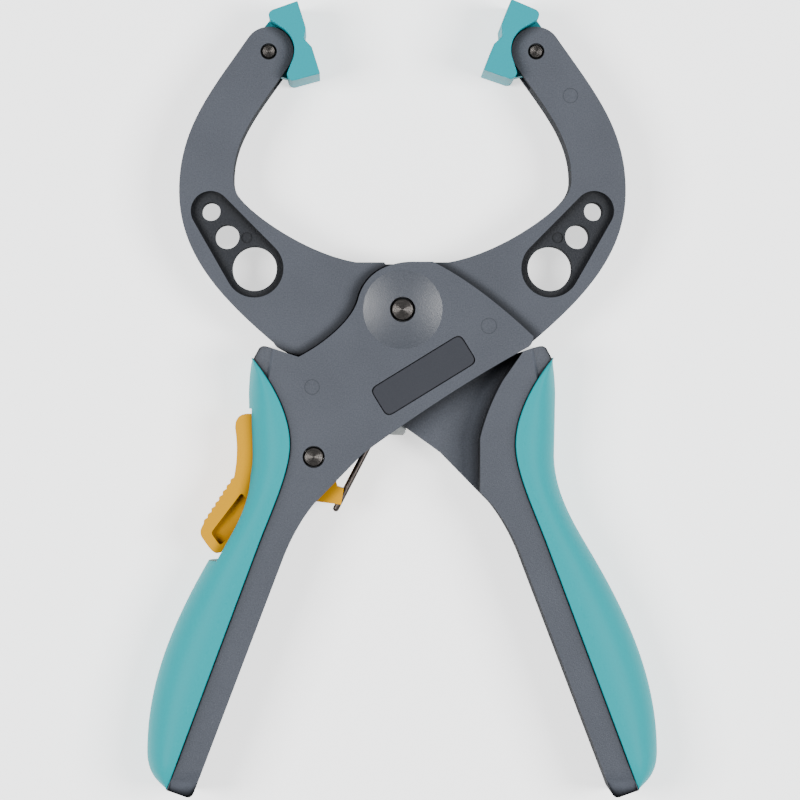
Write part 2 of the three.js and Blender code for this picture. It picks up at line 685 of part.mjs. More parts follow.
// Opening spring: a coil round the sleeve, with a straight leg in each hub half.
function springBody() {
  const points = [];
  const rise = spring_turns * spring_pitch;
  const bottom = new THREE.Vector3(-spring_radius, 0, -half(rise));
  const top = new THREE.Vector3(spring_radius, 0, half(rise));
  points.push(bottom.clone().setY(-spring_leg), bottom.clone().setY(-half(spring_leg)));
  const count = 12 * spring_turns;
  for (let i = 0; i <= count; i += 1) {
    const angle = Math.PI - (2 * Math.PI * i) / 12;
    points.push(new THREE.Vector3(spring_radius * Math.cos(angle),
      spring_radius * Math.sin(angle), rise * (i / count - 0.5)));
  }
  points.push(top.clone().setY(-half(spring_leg)), top.clone().setY(-spring_leg));
  const section = new THREE.Shape();
  section.absarc(0, 0, half(spring_wire), 0, 2 * Math.PI);
  return solid(new THREE.ExtrudeGeometry(section, {
    steps: 84, curveSegments: 3, extrudePath: new THREE.CatmullRomCurve3(points),
  }));
}

// ---------------------------------------------------------------- materials
const finish = (color, roughness, metalness = 0) => new THREE.MeshStandardMaterial(
  { color, roughness, metalness });
const lever_plastic = finish(0x646871, 0.62);
const badge_plastic = finish(0x484b54, 0.4);
const grip_rubber = finish(0x56c0c7, 0.6);
const pad_rubber = finish(0x48bfca, 0.6);
const thumb_plastic = finish(0xf5b90f, 0.45);
const dark_steel = finish(0x6a6663, 0.35, 1);
const bright_steel = finish(0xc8cccb, 0.3, 1);
const spring_steel = finish(0x4a4441, 0.4, 1);

// ---------------------------------------------------------------- assembly
const clamp = new THREE.Group();
clamp.position.z = rest_height;

// Front lever and what is fixed to it
clamp.add(named('front_lever', frontLeverBody(), lever_plastic));
clamp.add(named('front_grip', gripBody(true), grip_rubber));
clamp.add(named('front_badge', badgeBody(0, hub_top - badge.depth + seat_gap, hub_top),
  badge_plastic));
const rivet = pinBody(rivet_radius, -grip_top, hub_top - dish.depth + 0.4, 28, 0.6)
  .add(pinBody(rivet_head.radius, -grip_top, -grip_top + rivet_head.depth, 28, 0.3));
clamp.add(named('pivot_rivet', rivet, dark_steel));
const sleeve_half = half(spring_pitch * spring_turns) + 0.6;
const sleeve_radius = rivet_radius + seat_gap + sleeve_wall;
clamp.add(named('pivot_sleeve', drum(0, 0, sleeve_radius, -sleeve_half, sleeve_half)
  .subtract(drum(0, 0, rivet_radius + seat_gap, -beyond, beyond)), bright_steel));
clamp.add(named('opening_spring', springBody(), spring_steel));
const pivot_pin = pinBody(thumb_pin.radius, -hub_top, hub_top, 24);
clamp.add(named('thumb_pin', pivot_pin.translate([thumb_pin.x, thumb_pin.y, 0]), dark_steel));
clamp.add(named('return_spring', rod(wire_root, wire_tip, wire_radius, wire_z), spring_steel));

// Thumb lever
clamp.add(named('thumb_lever', thumbBody(), thumb_plastic));
clamp.add(named('pawl', pawlBody(), bright_steel));
pawl_pins.forEach(([x, y], i) => {
  const pin = pinBody(pawl_pin_radius, -thumb_top, thumb_top, 12, 0.2);
  clamp.add(named(`pawl_pin_${i + 1}`, pin.translate([x, y, 0]), dark_steel));
});

// Rear lever: the front one's moulding turned over
const rear = new THREE.Group();
rear.rotation.y = Math.PI;
rear.add(named('rear_lever', rearLeverBody(), lever_plastic));
rear.add(named('rear_grip', gripBody(false), grip_rubber));
rear.add(named('rear_badge', badgeBody(0, hub_top - badge.depth + seat_gap, hub_top),
  badge_plastic));
clamp.add(rear);
clamp.add(named('ratchet_sector', sectorBody(), bright_steel));
sector_rivets.angles.forEach((angle, i) => {
  const at = polar(sector_rivets.ring, angle);
  const body = pinBody(sector_rivets.radius, -hub_top, sector_top - 0.1, 16, 0.2)
    .add(pinBody(sector_rivets.head, -hub_top, -hub_top + rivet_cap, 20, 0.3));
  clamp.add(named(`sector_rivet_${i + 1}`, body.translate([at.x, at.y, 0]), dark_steel));
});

// Pads on their pins: the left one on the rear lever's jaw, the right one on the front's
[['left', -1], ['right', 1]].forEach(([side, sign]) => {
  const place = new THREE.Group();
  place.position.set(sign * pad_pin.x, pad_pin.y, 0);
  const pad = named(`${side}_pad`, padBody(), pad_rubber);
  pad.rotation.z = radians(pad_turn[side]);
  place.add(pad);
  place.add(named(`${side}_pad_pin`, pinBody(pad_pin.radius, -jaw_top, jaw_top), dark_steel));
  clamp.add(place);
});

export default clamp;
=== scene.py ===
# %% [markdown]
# # A ratchet spring clamp
# Two crossed levers turn on one rivet. Each lever is one grey moulding with a soft grip on its
# handle and a swivelling pad on its jaw. A thumb lever in the front handle frees the ratchet.
# The design model gives every place and every level, so this lesson starts by loading it.

# %% Load the frame
import json
import math

import bmesh
import bpy
import numpy as np
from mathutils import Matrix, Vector
from mathutils.geometry import delaunay_2d_cdt


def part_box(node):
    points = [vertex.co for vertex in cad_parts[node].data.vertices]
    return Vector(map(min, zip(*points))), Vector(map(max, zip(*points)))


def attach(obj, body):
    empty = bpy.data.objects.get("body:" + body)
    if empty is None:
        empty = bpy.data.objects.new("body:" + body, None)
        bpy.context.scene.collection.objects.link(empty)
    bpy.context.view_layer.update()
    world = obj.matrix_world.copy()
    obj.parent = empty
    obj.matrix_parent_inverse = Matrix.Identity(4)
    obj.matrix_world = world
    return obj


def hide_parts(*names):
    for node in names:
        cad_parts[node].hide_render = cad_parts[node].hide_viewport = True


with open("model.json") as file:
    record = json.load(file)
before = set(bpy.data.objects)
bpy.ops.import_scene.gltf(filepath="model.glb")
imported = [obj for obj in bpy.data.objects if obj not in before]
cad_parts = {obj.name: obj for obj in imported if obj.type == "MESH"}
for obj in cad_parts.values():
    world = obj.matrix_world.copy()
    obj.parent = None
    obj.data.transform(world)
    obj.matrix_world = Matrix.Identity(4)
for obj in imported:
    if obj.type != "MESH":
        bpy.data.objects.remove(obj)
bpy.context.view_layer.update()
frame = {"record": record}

# %% [markdown]
# ## Levels and places
# Outlines are drawn in millimetres, as the front lever lies: handle on the left, jaw on the
# right, the pivot at the origin and heights counted from the middle plane. Everything that
# another piece must fit is read from the design model's boxes. Pieces that run on each other
# keep the run gap, and pieces that sit in each other the seat gap. That gap is only a groove
# of the groove depth: below it they come as close as the touch gap, so that no light shows
# between them. DEEP and FAR lie past everything, so that a cut to them goes right through.

# %% Levels and places
MM = 0.001


def box_mm(node):
    """The lowest and highest corner of a design node, in millimetres."""
    low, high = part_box(node)
    return np.array(low) / MM, np.array(high) / MM


def centre_mm(node):
    """The middle of a design node seen from above, in millimetres."""
    low, high = box_mm(node)
    return ((low + high) / 2)[:2]


grip_low, grip_high = box_mm("front_grip")
middle = (grip_low[2] + grip_high[2]) / 2
grip_top = grip_high[2] - middle
_, lever_high = box_mm("front_lever")
hub_top = lever_high[2] - middle
jaw_top = box_mm("right_pad_pin")[1][2] - middle
thumb_top = box_mm("thumb_lever")[1][2] - middle
pad_pin = centre_mm("right_pad_pin")
pad_pin_radius = (box_mm("right_pad_pin")[1][0] - box_mm("right_pad_pin")[0][0]) / 2
thumb_pin = centre_mm("thumb_pin")
thumb_pin_radius = (box_mm("thumb_pin")[1][0] - box_mm("thumb_pin")[0][0]) / 2
jaw_bow_x = lever_high[0]
handle_bow_x = grip_low[0]
run_gap = 0.35
seat_gap = 0.3
touch_gap = 0.04
groove_depth = 0.8
lap_level = 0.2
DEEP = 60
FAR = 140
print("middle plane at", middle, "hub", hub_top, "jaw", jaw_top, "grip", grip_top)

# %% [markdown]
# ## Outlines
# A moulding like this is drawn from a few Bezier curves and arcs. A Bezier curve is a sum of
# its control points, each times a Bernstein weight, so numpy works out all its points at once.

# %% Curves, arcs and closed outlines
CURVE_STEP = 0.9
ARC_STEP = 6


def curve(*controls):
    """Points of a Bezier curve: the sum of the controls times their Bernstein weights."""
    controls = np.array(controls, float)
    order = len(controls) - 1
    length = np.linalg.norm(np.diff(controls, axis=0), axis=1).sum()
    t = np.linspace(0, 1, max(4, round(length / CURVE_STEP) + 1))[:, None]
    weights = [math.comb(order, k) * t**k * (1 - t) ** (order - k) for k in range(order + 1)]
    return sum(weight * control for weight, control in zip(weights, controls))


def arc(centre, radius, start, stop, step=ARC_STEP):
    """Points at one radius round a centre, from a start to a stop angle in degrees."""
    count = max(3, round(abs(stop - start) / step) + 1)
    angle = np.radians(np.linspace(start, stop, count))
    return np.array(centre) + radius * np.stack([np.cos(angle), np.sin(angle)], axis=1)


def circle(centre, radius):
    """A closed ring of points at one radius round a centre."""
    return arc(centre, radius, 0, 360 - ARC_STEP)


def closed(*parts):
    """Joins parts end to end into one outline, drops repeats and turns it anticlockwise."""
    points = np.concatenate([np.atleast_2d(np.array(part, float)) for part in parts])
    apart = np.linalg.norm(points - np.roll(points, 1, axis=0), axis=1) > 0.01
    points = points[apart]
    x, y = points.T
    area = (x * np.roll(y, -1) - np.roll(x, -1) * y).sum() / 2
    return points if area > 0 else points[::-1]


def rounded(corners):
    """Corners (x, y, rounding) joined by straight lines, each corner eased by a small curve."""
    parts = []
    for i, (x, y, rounding) in enumerate(corners):
        here = np.array([x, y], float)
        ends = [here]
        for other in (corners[i - 1], corners[(i + 1) % len(corners)]):
            reach = np.array(other[:2], float) - here
            ends.append(here + reach / np.linalg.norm(reach) * rounding)
        parts.append(curve(ends[1], here, ends[2]) if rounding else here)
    return closed(*parts)


def polar(radius, degrees):
    """The point at a radius and an angle round the pivot."""
    return radius * np.array([math.cos(math.radians(degrees)), math.sin(math.radians(degrees))])


# %% [markdown]
# ## Outline of the jaw
# A jaw is a bowed arm with a round nose that the pad turns on. Its bow and its nose come from
# the design model, so the curves between them only need a pull, which says how far a curve
# holds the direction of its end.

# %% Outline of the jaw
throat_y = 14.4
hub_radius = 13.8
elbow_x = 51.3
nose_radius = 7.5
nose_lean = 55.2
stop = np.array([38.2, -10.8])
handle_root = np.array([-31.5, stop[1] - 3.6])
jaw_rise = pad_pin[1] - throat_y


def jaw_outline():
    """Heel, bow, round nose, inner edge down to the elbow, and the throat."""
    lean = polar(1, -nose_lean)
    outer = pad_pin + nose_radius * np.array([-lean[1], lean[0]])
    inner = pad_pin - nose_radius * np.array([-lean[1], lean[0]])
    bow = np.array([jaw_bow_x, throat_y + 0.34 * jaw_rise])
    elbow = np.array([elbow_x, throat_y + 0.37 * jaw_rise])
    pull = 0.3 * jaw_rise
    return closed(
        [6.2, throat_y],
        [0, hub_radius - 2],
        [0, -hub_radius],
        [-handle_root[0] - 6, handle_root[1] + 2.3],
        curve((-handle_root[0] - 6, handle_root[1] + 2.3), (-handle_root[0], handle_root[1] + 0.6),
              (stop[0] - 3, stop[1] - 1.9)),
        curve(stop, stop + (17, 14.3), bow - (0, pull), bow),
        curve(bow, bow + (0, pull), outer + pull * lean, outer),
        arc(pad_pin, nose_radius, 90 - nose_lean, 270 - nose_lean),
        curve(inner, inner + 0.24 * jaw_rise * lean, elbow + (0.2, 0.22 * jaw_rise),
              elbow + (0, 1.5)),
        curve(elbow + (0, 1.5), elbow + (0.1, -1), elbow - (1.4, 3.4)),
        curve(elbow - (1.4, 3.4), (elbow_x - 5, throat_y + 0.23 * jaw_rise),
              (elbow_x - 22, throat_y + 2.6), (14, throat_y)),
    )


# %% [markdown]
# ## Outline of the handle and the hub
# The handle widens to a waist, a flare and a long bow for the palm. Above it the hub's edge is
# one arc, because the other lever's heel swings along it.

# %% Outline of the handle and the hub
handle_end = np.array([-64.0, -148.0])
flare = np.array([-59.8, -77.6])
waist_x = -46.4
grip_head = np.array([waist_x + 0.8, stop[1] - 3.8])
grip_foot = handle_end + (-7.4, 2.6)
crown_end = np.array([9, throat_y])
flank_to, crown_from, crown_cut_to = 165, 112, 66
heel_path_to = 110


def back_edge():
    """Back of the handle from its foot up to its waist."""
    bow = np.array([handle_bow_x, handle_end[1] + 13.5])
    return np.concatenate([
        curve(grip_foot, bow - (0, 8), bow),
        curve(bow, bow + (0, 20), flare + (-10.9, -19.1), flare),
        curve(flare, flare + (5.9, 10.4), (waist_x, flare[1] + 20.6), (waist_x, flare[1] + 33.6)),
        [[waist_x - 0.4, stop[1] - 15]],
    ])


def flank(gap, side):
    """The edge round the hub, from the handle's root: side 1 is this lever's, side -1 the
    path of the other lever's heel, which swings along the same flank one gap further out."""
    radius = hub_radius + gap
    leave = polar(radius, flank_to)
    root = handle_root + (0, gap)
    path = curve(root, root + (9, 4.7), leave + (-1.3, -6.1), leave)
    last = crown_from if side > 0 else heel_path_to
    path = np.concatenate([path, arc((0, 0), radius, flank_to, last)])
    return path * (side, 1)


def bar_outline():
    """Hub and handle, drawn clockwise from the crown of the hub."""
    end = handle_end
    crown = polar(hub_radius, crown_from)
    turn_x = crown[0] - (throat_y - crown[1]) * math.tan(math.radians(crown_from))
    return closed(
        curve(crown_end, (23, 7.5), stop + (1.3, 2.6)),
        curve(stop + (1.3, 2.6), stop + (1.1, -0.2), stop + (-0.8, -0.9)),
        curve(stop + (-0.8, -0.9), (14, -24.5), (-12, -43.6)),
        curve((-12, -43.6), (-27, -59), (-27, -59)),
        curve((-27, -59), (-33, -66.5), (-36.8, -77)),
        end + (1, 2.2),
        curve(end + (1, 2.2), end + (0.2, 0), end + (-1.5, 0.5)),
        grip_foot,
        back_edge(),
        curve((waist_x - 0.4, stop[1] - 15), (waist_x - 0.2, stop[1] - 8),
              (waist_x + 1.2, stop[1] - 4.2)),
        (waist_x + 3, stop[1] - 0.9),
        curve((waist_x + 3, stop[1] - 0.9), (waist_x + 4, stop[1] + 0.2),
              (waist_x + 6, stop[1] - 0.6)),
        flank(0, 1),
        curve(crown, (turn_x, throat_y), (2 * turn_x - crown[0], throat_y)),
    )


def grip_border(gap):
    """The line between grip and handle, from the head of the grip down to its foot."""
    line = np.concatenate([
        curve(grip_head, (-40.5, -20.5), (-34.1, -31), (-34.1, -40.8)),
        curve((-34.1, -40.8), (-34.1, -49), (-39.5, -60.5), (-43.1, -69.8)),
        [grip_foot],
    ])
    return line + (gap, 0)


def bed_outline(gap):
    """Everything behind the grip's border: the bed that the grip is moulded into."""
    return closed(grip_border(gap), (grip_foot[0] + gap, -2 * FAR), (-FAR, -2 * FAR),
                  (-FAR, grip_head[1] + gap))


def lap_outline(whole):
    """What the other lever takes up behind this one, as far as its heel or all of it."""
    start = [(-46, FAR), (-38.5, stop[1] + 1), (-30.3, -21.5)]
    edge = curve((-30.3, -21.5), (-25.5, -30), (-23.4, -39))
    low = [(-23.4, -2 * FAR), (FAR, -2 * FAR)]
    if whole:
        return closed(start, edge, low, (FAR, FAR))
    heel = [(FAR, stop[1] - 0.9), stop + (-0.8, -0.9), stop + (-3, -1.9)]
    return closed(start, edge, low, heel, flank(0.5, -1), (6.2, throat_y + 1), (6.2, FAR))


def crown_outline():
    """The space under the hub's face and over its round top, where the other heel passes."""
    return closed(crown_end, (crown_end[0], 2 * throat_y), (-throat_y, 2 * throat_y),
                  (-throat_y, 0.8 * hub_radius), arc((0, 0), hub_radius, 125, crown_cut_to))


# %% [markdown]
# ## Pocket, holes and name plate
# Each jaw has a pocket with three holes, the largest to hang the clamp by. The pocket is the
# shape of a belt round two pulleys: two circles and the lines that touch both.

# %% Outlines of the pocket, its holes and the name plate
holes = [((45.0, 12.6), 6.8), ((53.3, 22.3), 3.7), ((58.2, 30.0), 2.85)]
pocket_depth = 3.0


def teardrop(a, a_radius, b, b_radius):
    """Two circles and the straight edges that touch both."""
    a, b = np.array(a, float), np.array(b, float)
    facing = math.degrees(math.atan2(*(b - a)[::-1]))
    spread = math.degrees(math.acos((a_radius - b_radius) / np.linalg.norm(b - a)))
    return closed(arc(a, a_radius, facing + spread, facing - spread + 360),
                  arc(b, b_radius, facing - spread, facing + spread))


def pocket_outline(grow=0):
    """The pocket round the three holes."""
    return teardrop(holes[0][0], holes[0][1] + 2.1 + grow, holes[2][0], holes[2][1] + 3.2 + grow)


badge_centre = centre_mm("front_badge")
badge_turn = 31.6
badge_length, badge_width, badge_corner = 31.6, 9.6, 2.2


def badge_outline(gap):
    """A rectangle with rounded corners, turned to run along the lever."""
    x, y, r = badge_length / 2 + gap, badge_width / 2 + gap, badge_corner
    flat = rounded([(x, y, r), (-x, y, r), (-x, -y, r), (x, -y, r)])
    c, s = polar(1, badge_turn)
    return closed(flat @ np.array([[c, s], [-s, c]]) + badge_centre)


print("badge centre", badge_centre)

# %% [markdown]
# ## Carving a moulding from outlines
# A mould is cut in levels: each outline stands between two heights, either as plastic or as a
# space. One triangulation of all outlines gives small regions that know which outlines they lie
# in. Between two levels a region is solid or empty, so its floors and ceilings are triangles,
# and its walls are the region's edge carried from one level to the next. This is exact at every
# crossing, which a Boolean modifier isn't, and it gives clean flat faces to round off.

# %% Carve a closed body from outlines and levels


def carve(adds, cuts, supports=()):
    """Points and faces of the solid that adds cover and cuts don't.

    adds and cuts are (outline, low, high). A layer between two neighbouring levels is solid
    where an add spans it and no cut does. Its walls are edge points times the two levels.
    """
    parts = list(adds) + list(cuts)
    loops = [part[0] for part in parts] + list(supports)
    starts = np.cumsum([0] + [len(loop) for loop in loops])
    rings = [list(range(a, b)) for a, b in zip(starts[:-1], starts[1:])]
    flat, _, triangles, _, _, owners = delaunay_2d_cdt(
        np.concatenate(loops).tolist(), [], rings, 0, 1e-4, True)
    flat = np.array(flat)
    triangles = np.array(triangles)
    inside = np.zeros((len(loops), len(triangles)), bool)
    for column, owner in enumerate(owners):
        inside[owner, column] = True
    low, high = min(add[1] for add in adds), max(add[2] for add in adds)
    levels = sorted({z for _, *span in parts for z in span if low <= z <= high})
    layers = [np.zeros(len(triangles), bool)]
    for below, above in zip(levels[:-1], levels[1:]):
        spans = np.array([z0 <= below and above <= z1 for _, z0, z1 in parts])
        solid = inside[:len(adds)][spans[:len(adds)]].any(0)
        empty = inside[len(adds):len(parts)][spans[len(adds):]].any(0)
        layers.append(solid & ~empty)
    layers.append(layers[0])
    faces = []
    count = len(flat)
    for k in range(len(levels)):
        under, over = layers[k], layers[k + 1]
        faces += (triangles[under & ~over] + k * count).tolist()
        faces += (triangles[over & ~under][:, ::-1] + k * count).tolist()
        if k + 1 < len(levels):
            tris = triangles[over]
            a, b = tris.ravel(), np.roll(tris, -1, axis=1).ravel()
            lone = ~np.isin(a * count + b, b * count + a)
            a, b = a[lone] + k * count, b[lone] + k * count
            faces += np.stack([a + count, a, b, b + count], axis=1).tolist()
    points = np.concatenate([np.column_stack([flat, np.full(count, z)]) for z in levels])
    return points, faces


def near(points, outline, reach):
    """True for each point that lies within reach of an outline, seen from above."""
    start, end = outline, np.roll(outline, -1, axis=0)
    along = end - start
    share = ((points[:, None, :2] - start) * along).sum(2) / (along**2).sum(1)
    foot = start + np.clip(share, 0, 1)[..., None] * along
    return np.linalg.norm(points[:, None, :2] - foot, axis=2).min(1) < reach


# %% [markdown]
# ## Shapes on a grid
# Turned pieces, wires and grips are sheets of four-cornered faces, bent round and closed. Two
# parameters number the grid, and numpy works out all its points at once.

# %% Shapes on a grid of two parameters


def grid_faces(rows, columns, closes_rows=False, closes_columns=True):
    """Four-cornered faces of a grid whose rows and columns may close on themselves."""
    row = np.arange(rows if closes_rows else rows - 1)
    column = np.arange(columns if closes_columns else columns - 1)
    i, j = np.meshgrid(row, column, indexing="ij")
    down, right = (i + 1) % rows, (j + 1) % columns
    corners = [i * columns + j, down * columns + j, down * columns + right, i * columns + right]
    return np.stack(corners, axis=-1).reshape(-1, 4).tolist()


def revolve(profile, centre=(0, 0), steps=72, closes=False):
    """A profile of (radius, height) pairs carried round an upright axis.

    A point is the centre plus radius times (cos, sin) of the angle, at the profile's height.
    The profile runs from the top of the piece down its outside.
    """
    profile = np.array(profile, float)
    angle = np.linspace(0, 2 * math.pi, steps, endpoint=False)
    ring = np.stack([np.cos(angle), np.sin(angle), np.zeros(steps)], axis=1)
    points = profile[:, None, :1] * ring + profile[:, None, 1:] * (0, 0, 1)
    return (points + (*centre, 0)).reshape(-1, 3), grid_faces(len(profile), steps, closes)


def wire(path, radius, sides=16):
    """A round section carried along a path, with half-round ends.

    Each section stands square to the path: the path's direction crossed with the way out from
    the pivot's axis gives one side, and crossed again gives the other. The end sections shrink
    by the cosine of an angle while they move on by its sine.
    """
    path = np.asarray(path, float)
    ahead = np.gradient(path, axis=0)
    ahead /= np.linalg.norm(ahead, axis=1, keepdims=True)
    tuck = np.radians([90, 60, 30])
    start = path[0] - np.sin(tuck)[:, None] * radius * ahead[0]
    finish = path[-1] + np.sin(tuck[::-1])[:, None] * radius * ahead[-1]
    middle_line = np.concatenate([start, path, finish])
    size = np.concatenate([np.cos(tuck), np.ones(len(path)), np.cos(tuck[::-1])]) * radius
    ahead = np.concatenate([ahead[:1].repeat(3, 0), ahead, ahead[-1:].repeat(3, 0)])
    side = np.cross(ahead, middle_line * (1, 1, 0) + (0.01, 0, 0))
    side /= np.linalg.norm(side, axis=1, keepdims=True)
    other = np.cross(side, ahead)
    angle = np.linspace(0, 2 * math.pi, sides, endpoint=False)
    ring = np.cos(angle)[:, None] * side[:, None] + np.sin(angle)[:, None] * other[:, None]
    points = middle_line[:, None] + size[:, None, None] * ring
    return points.reshape(-1, 3), grid_faces(len(middle_line), sides)


# %% [markdown]
# ## From points to pieces
# A piece is one mesh, made where it lies. Its edges are rounded by a Bevel modifier, with a
# weight on each edge, because a weight lets one moulding have sharp rings and soft corners.

# %% Put a shape into Blender


def placed(points, turn=0, at=(0, 0), over=False):
    """Turns points about an upright axis, moves them, turns them over with the rear lever if
    asked, and lifts them from the middle plane into the frame, in metres."""
    c, s = polar(1, turn)
    x, y, z = np.asarray(points, float).T
    x, y = c * x - s * y + at[0], s * x + c * y + at[1]
    if over:
        x, z = -x, -z
    return np.stack([x, y, z + middle], axis=1) * MM


def new_piece(name, points, faces, body, material, replaces=(), sharp=35):
    """A smooth-shaded mesh object that rides on a body and takes a material slot's finish."""
    mesh = bpy.data.meshes.new(name)
    mesh.from_pydata(np.asarray(points).tolist(), [], faces)
    shape = bmesh.new()
    shape.from_mesh(mesh)
    bmesh.ops.remove_doubles(shape, verts=shape.verts, dist=2e-6)
    bmesh.ops.dissolve_degenerate(shape, dist=1e-7, edges=shape.edges)
    loose = [v for v in shape.verts if not v.link_faces]
    bmesh.ops.delete(shape, geom=loose, context="VERTS")
    shape.to_mesh(mesh)
    shape.free()
    mesh.shade_smooth()
    mesh.set_sharp_from_angle(angle=math.radians(sharp))
    piece = bpy.data.objects.new(name, mesh)
    bpy.context.scene.collection.objects.link(piece)
    mesh.materials.append(material)
    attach(piece, body)
    if replaces:
        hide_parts(*replaces)
    print(name, len(mesh.vertices), "points,", len(mesh.polygons), "faces")
    return piece


# %% [markdown]
# No real edge is perfectly sharp, and the light that a rounded edge catches shows its shape. A
# Bevel modifier rounds the edges, and flat faces keep their flat shading.

# %% Round edges by weight


def round_edges(piece, radius_of, widest, segments=3):
    """Rounds a carved piece's edges with a Bevel modifier, each by its own radius.

    radius_of(middles, convex, level) gives the radius in millimetres for the edges' middles;
    the modifier's width is the widest, and an edge's weight is its radius over that.
    """
    mesh = piece.data
    shape = bmesh.new()
    shape.from_mesh(mesh)
    bmesh.ops.dissolve_limit(shape, angle_limit=math.radians(0.4), verts=shape.verts,
                             edges=shape.edges, delimit=set())
    shape.to_mesh(mesh)
    bend = np.array([edge.calc_face_angle_signed(0.0) for edge in shape.edges])
    shape.free()
    ends = np.zeros(len(mesh.edges) * 2, int)
    mesh.edges.foreach_get("vertices", ends)
    points = np.zeros(len(mesh.vertices) * 3)
    mesh.vertices.foreach_get("co", points)
    ends = points.reshape(-1, 3)[ends.reshape(-1, 2)] / MM
    level = np.abs(ends[:, 0, 2] - ends[:, 1, 2]) < 0.4 * np.linalg.norm(ends[:, 0] - ends[:, 1],
                                                                          axis=1)
    radius = radius_of(ends.mean(1) - (0, 0, middle), bend > 0, level)
    radius = np.where(np.abs(bend) > math.radians(28), radius, 0)
    weights = mesh.attributes.new("bevel_weight_edge", "FLOAT", "EDGE")
    weights.data.foreach_set("value", (radius / widest).astype(np.float32))
    sharp = mesh.attributes.get("sharp_edge") or mesh.attributes.new("sharp_edge", "BOOLEAN",
                                                                     "EDGE")
    sharp.data.foreach_set("value", (np.abs(bend) > math.radians(28)) & (radius == 0))
    bevel = piece.modifiers.new("rounded edges", "BEVEL")
    bevel.limit_method = "WEIGHT"
    bevel.width = widest * MM
    bevel.segments = segments
    bevel.use_clamp_overlap = True
    bevel.harden_normals = True


# %% [markdown]
# ## Finishes
# Shader maths reads best as plain expressions, so one small class wraps a socket and turns
# Python's operators into Math nodes. Every other node comes from one method.

# %% Shader expressions


class Signal:
    """One output socket of a node tree; arithmetic on it adds Math nodes."""

    def __init__(self, tree, socket):
        self.tree, self.socket = tree, socket

    def math(self, operation, *values):
        """Adds one Math node on signals or numbers."""
        node = self.tree.nodes.new("ShaderNodeMath")
        node.operation = operation
        for place, value in zip(node.inputs, values):
            if isinstance(value, Signal):
                self.tree.links.new(value.socket, place)
            else:
                place.default_value = value
        return Signal(self.tree, node.outputs[0])

    def __add__(self, other):
        return self.math("ADD", self, other)

    __radd__ = __add__

    def __sub__(self, other):
        return self.math("SUBTRACT", self, other)

    def __rsub__(self, other):
        return self.math("SUBTRACT", other, self)

    def __mul__(self, other):
        return self.math("MULTIPLY", self, other)

    __rmul__ = __mul__

    def __abs__(self):
        return self.math("ABSOLUTE", self)

    def clip(self):
        """The signal, kept between 0 and 1."""
        return self.math("MAXIMUM", self.math("MINIMUM", self, 1.0), 0.0)


# %% [markdown]
# A finish is one Principled surface. Its constants are set on its sockets, and only what varies
# over the surface is linked.

# %% A finish and its nodes


class Finish:
    """A material being made: one Principled surface and the nodes that feed it."""

    def __init__(self, name, **constants):
        self.material = bpy.data.materials.new(name)
        self.material.use_nodes = True
        self.tree = self.material.node_tree
        self.surface = self.tree.nodes["Principled BSDF"]
        for socket, value in constants.items():
            self.surface.inputs[socket.replace("_", " ")].default_value = value
        place = self.tree.nodes.new("ShaderNodeTexCoord")
        self.place = Signal(self.tree, place.outputs["Object"])

    def node(self, kind, settings, inputs, output=0):
        """Adds a node: its type, its settings first, then its sockets' values or links."""
        node = self.tree.nodes.new(kind)
        for name, value in settings.items():
            setattr(node, name, value)
        for name, value in inputs.items():
            if isinstance(value, Signal):
                self.tree.links.new(value.socket, node.inputs[name])
            else:
                node.inputs[name].default_value = value
        return Signal(self.tree, node.outputs[output])

    def noise(self, scale, detail=2.0, roughness=0.5):
        """Noise in the piece's own space; the scale is in features for each metre."""
        return self.node("ShaderNodeTexNoise", {}, {"Vector": self.place, "Scale": scale,
                                                    "Detail": detail, "Roughness": roughness})

    def split(self, vector):
        """The x, y and z of a vector, as three signals."""
        node = self.tree.nodes.new("ShaderNodeSeparateXYZ")
        self.tree.links.new(vector.socket, node.inputs[0])
        return [Signal(self.tree, output) for output in node.outputs]

    def blend(self, factor, dark, light):
        """A colour between two others."""
        node = self.tree.nodes.new("ShaderNodeMix")
        node.data_type = "RGBA"
        for place, value in ((0, factor), (6, dark), (7, light)):
            if isinstance(value, Signal):
                self.tree.links.new(value.socket, node.inputs[place])
            else:
                node.inputs[place].default_value = value if place == 0 else (*value[:3], 1)
        return Signal(self.tree, node.outputs[2])

    def feed(self, socket, signal):
        """Links a signal to a socket of the surface."""
        self.tree.links.new(signal.socket, self.surface.inputs[socket])

    def bump(self, height, distance, strength=1.0):
        """Feeds the surface's normal with a height in metres times distance."""
        self.feed("Normal", self.node("ShaderNodeBump", {}, {
            "Height": height, "Distance": distance, "Strength": strength}))


# %% [markdown]
# ## Moulded plastic, rubber and steel
# The grey plastic has the fine matte grain of an etched mould, so its roughness and its bump
# share one small noise. The rubber is smoother, the amber plastic is satin, and the turned
# steel has rings round its own axis.

# %% Plastics
record_colour = {entry["slot"]: entry["base_color"] for entry in frame["record"]["materials"]}
pocket_low, pocket_high = 2.5, jaw_top - 1.2


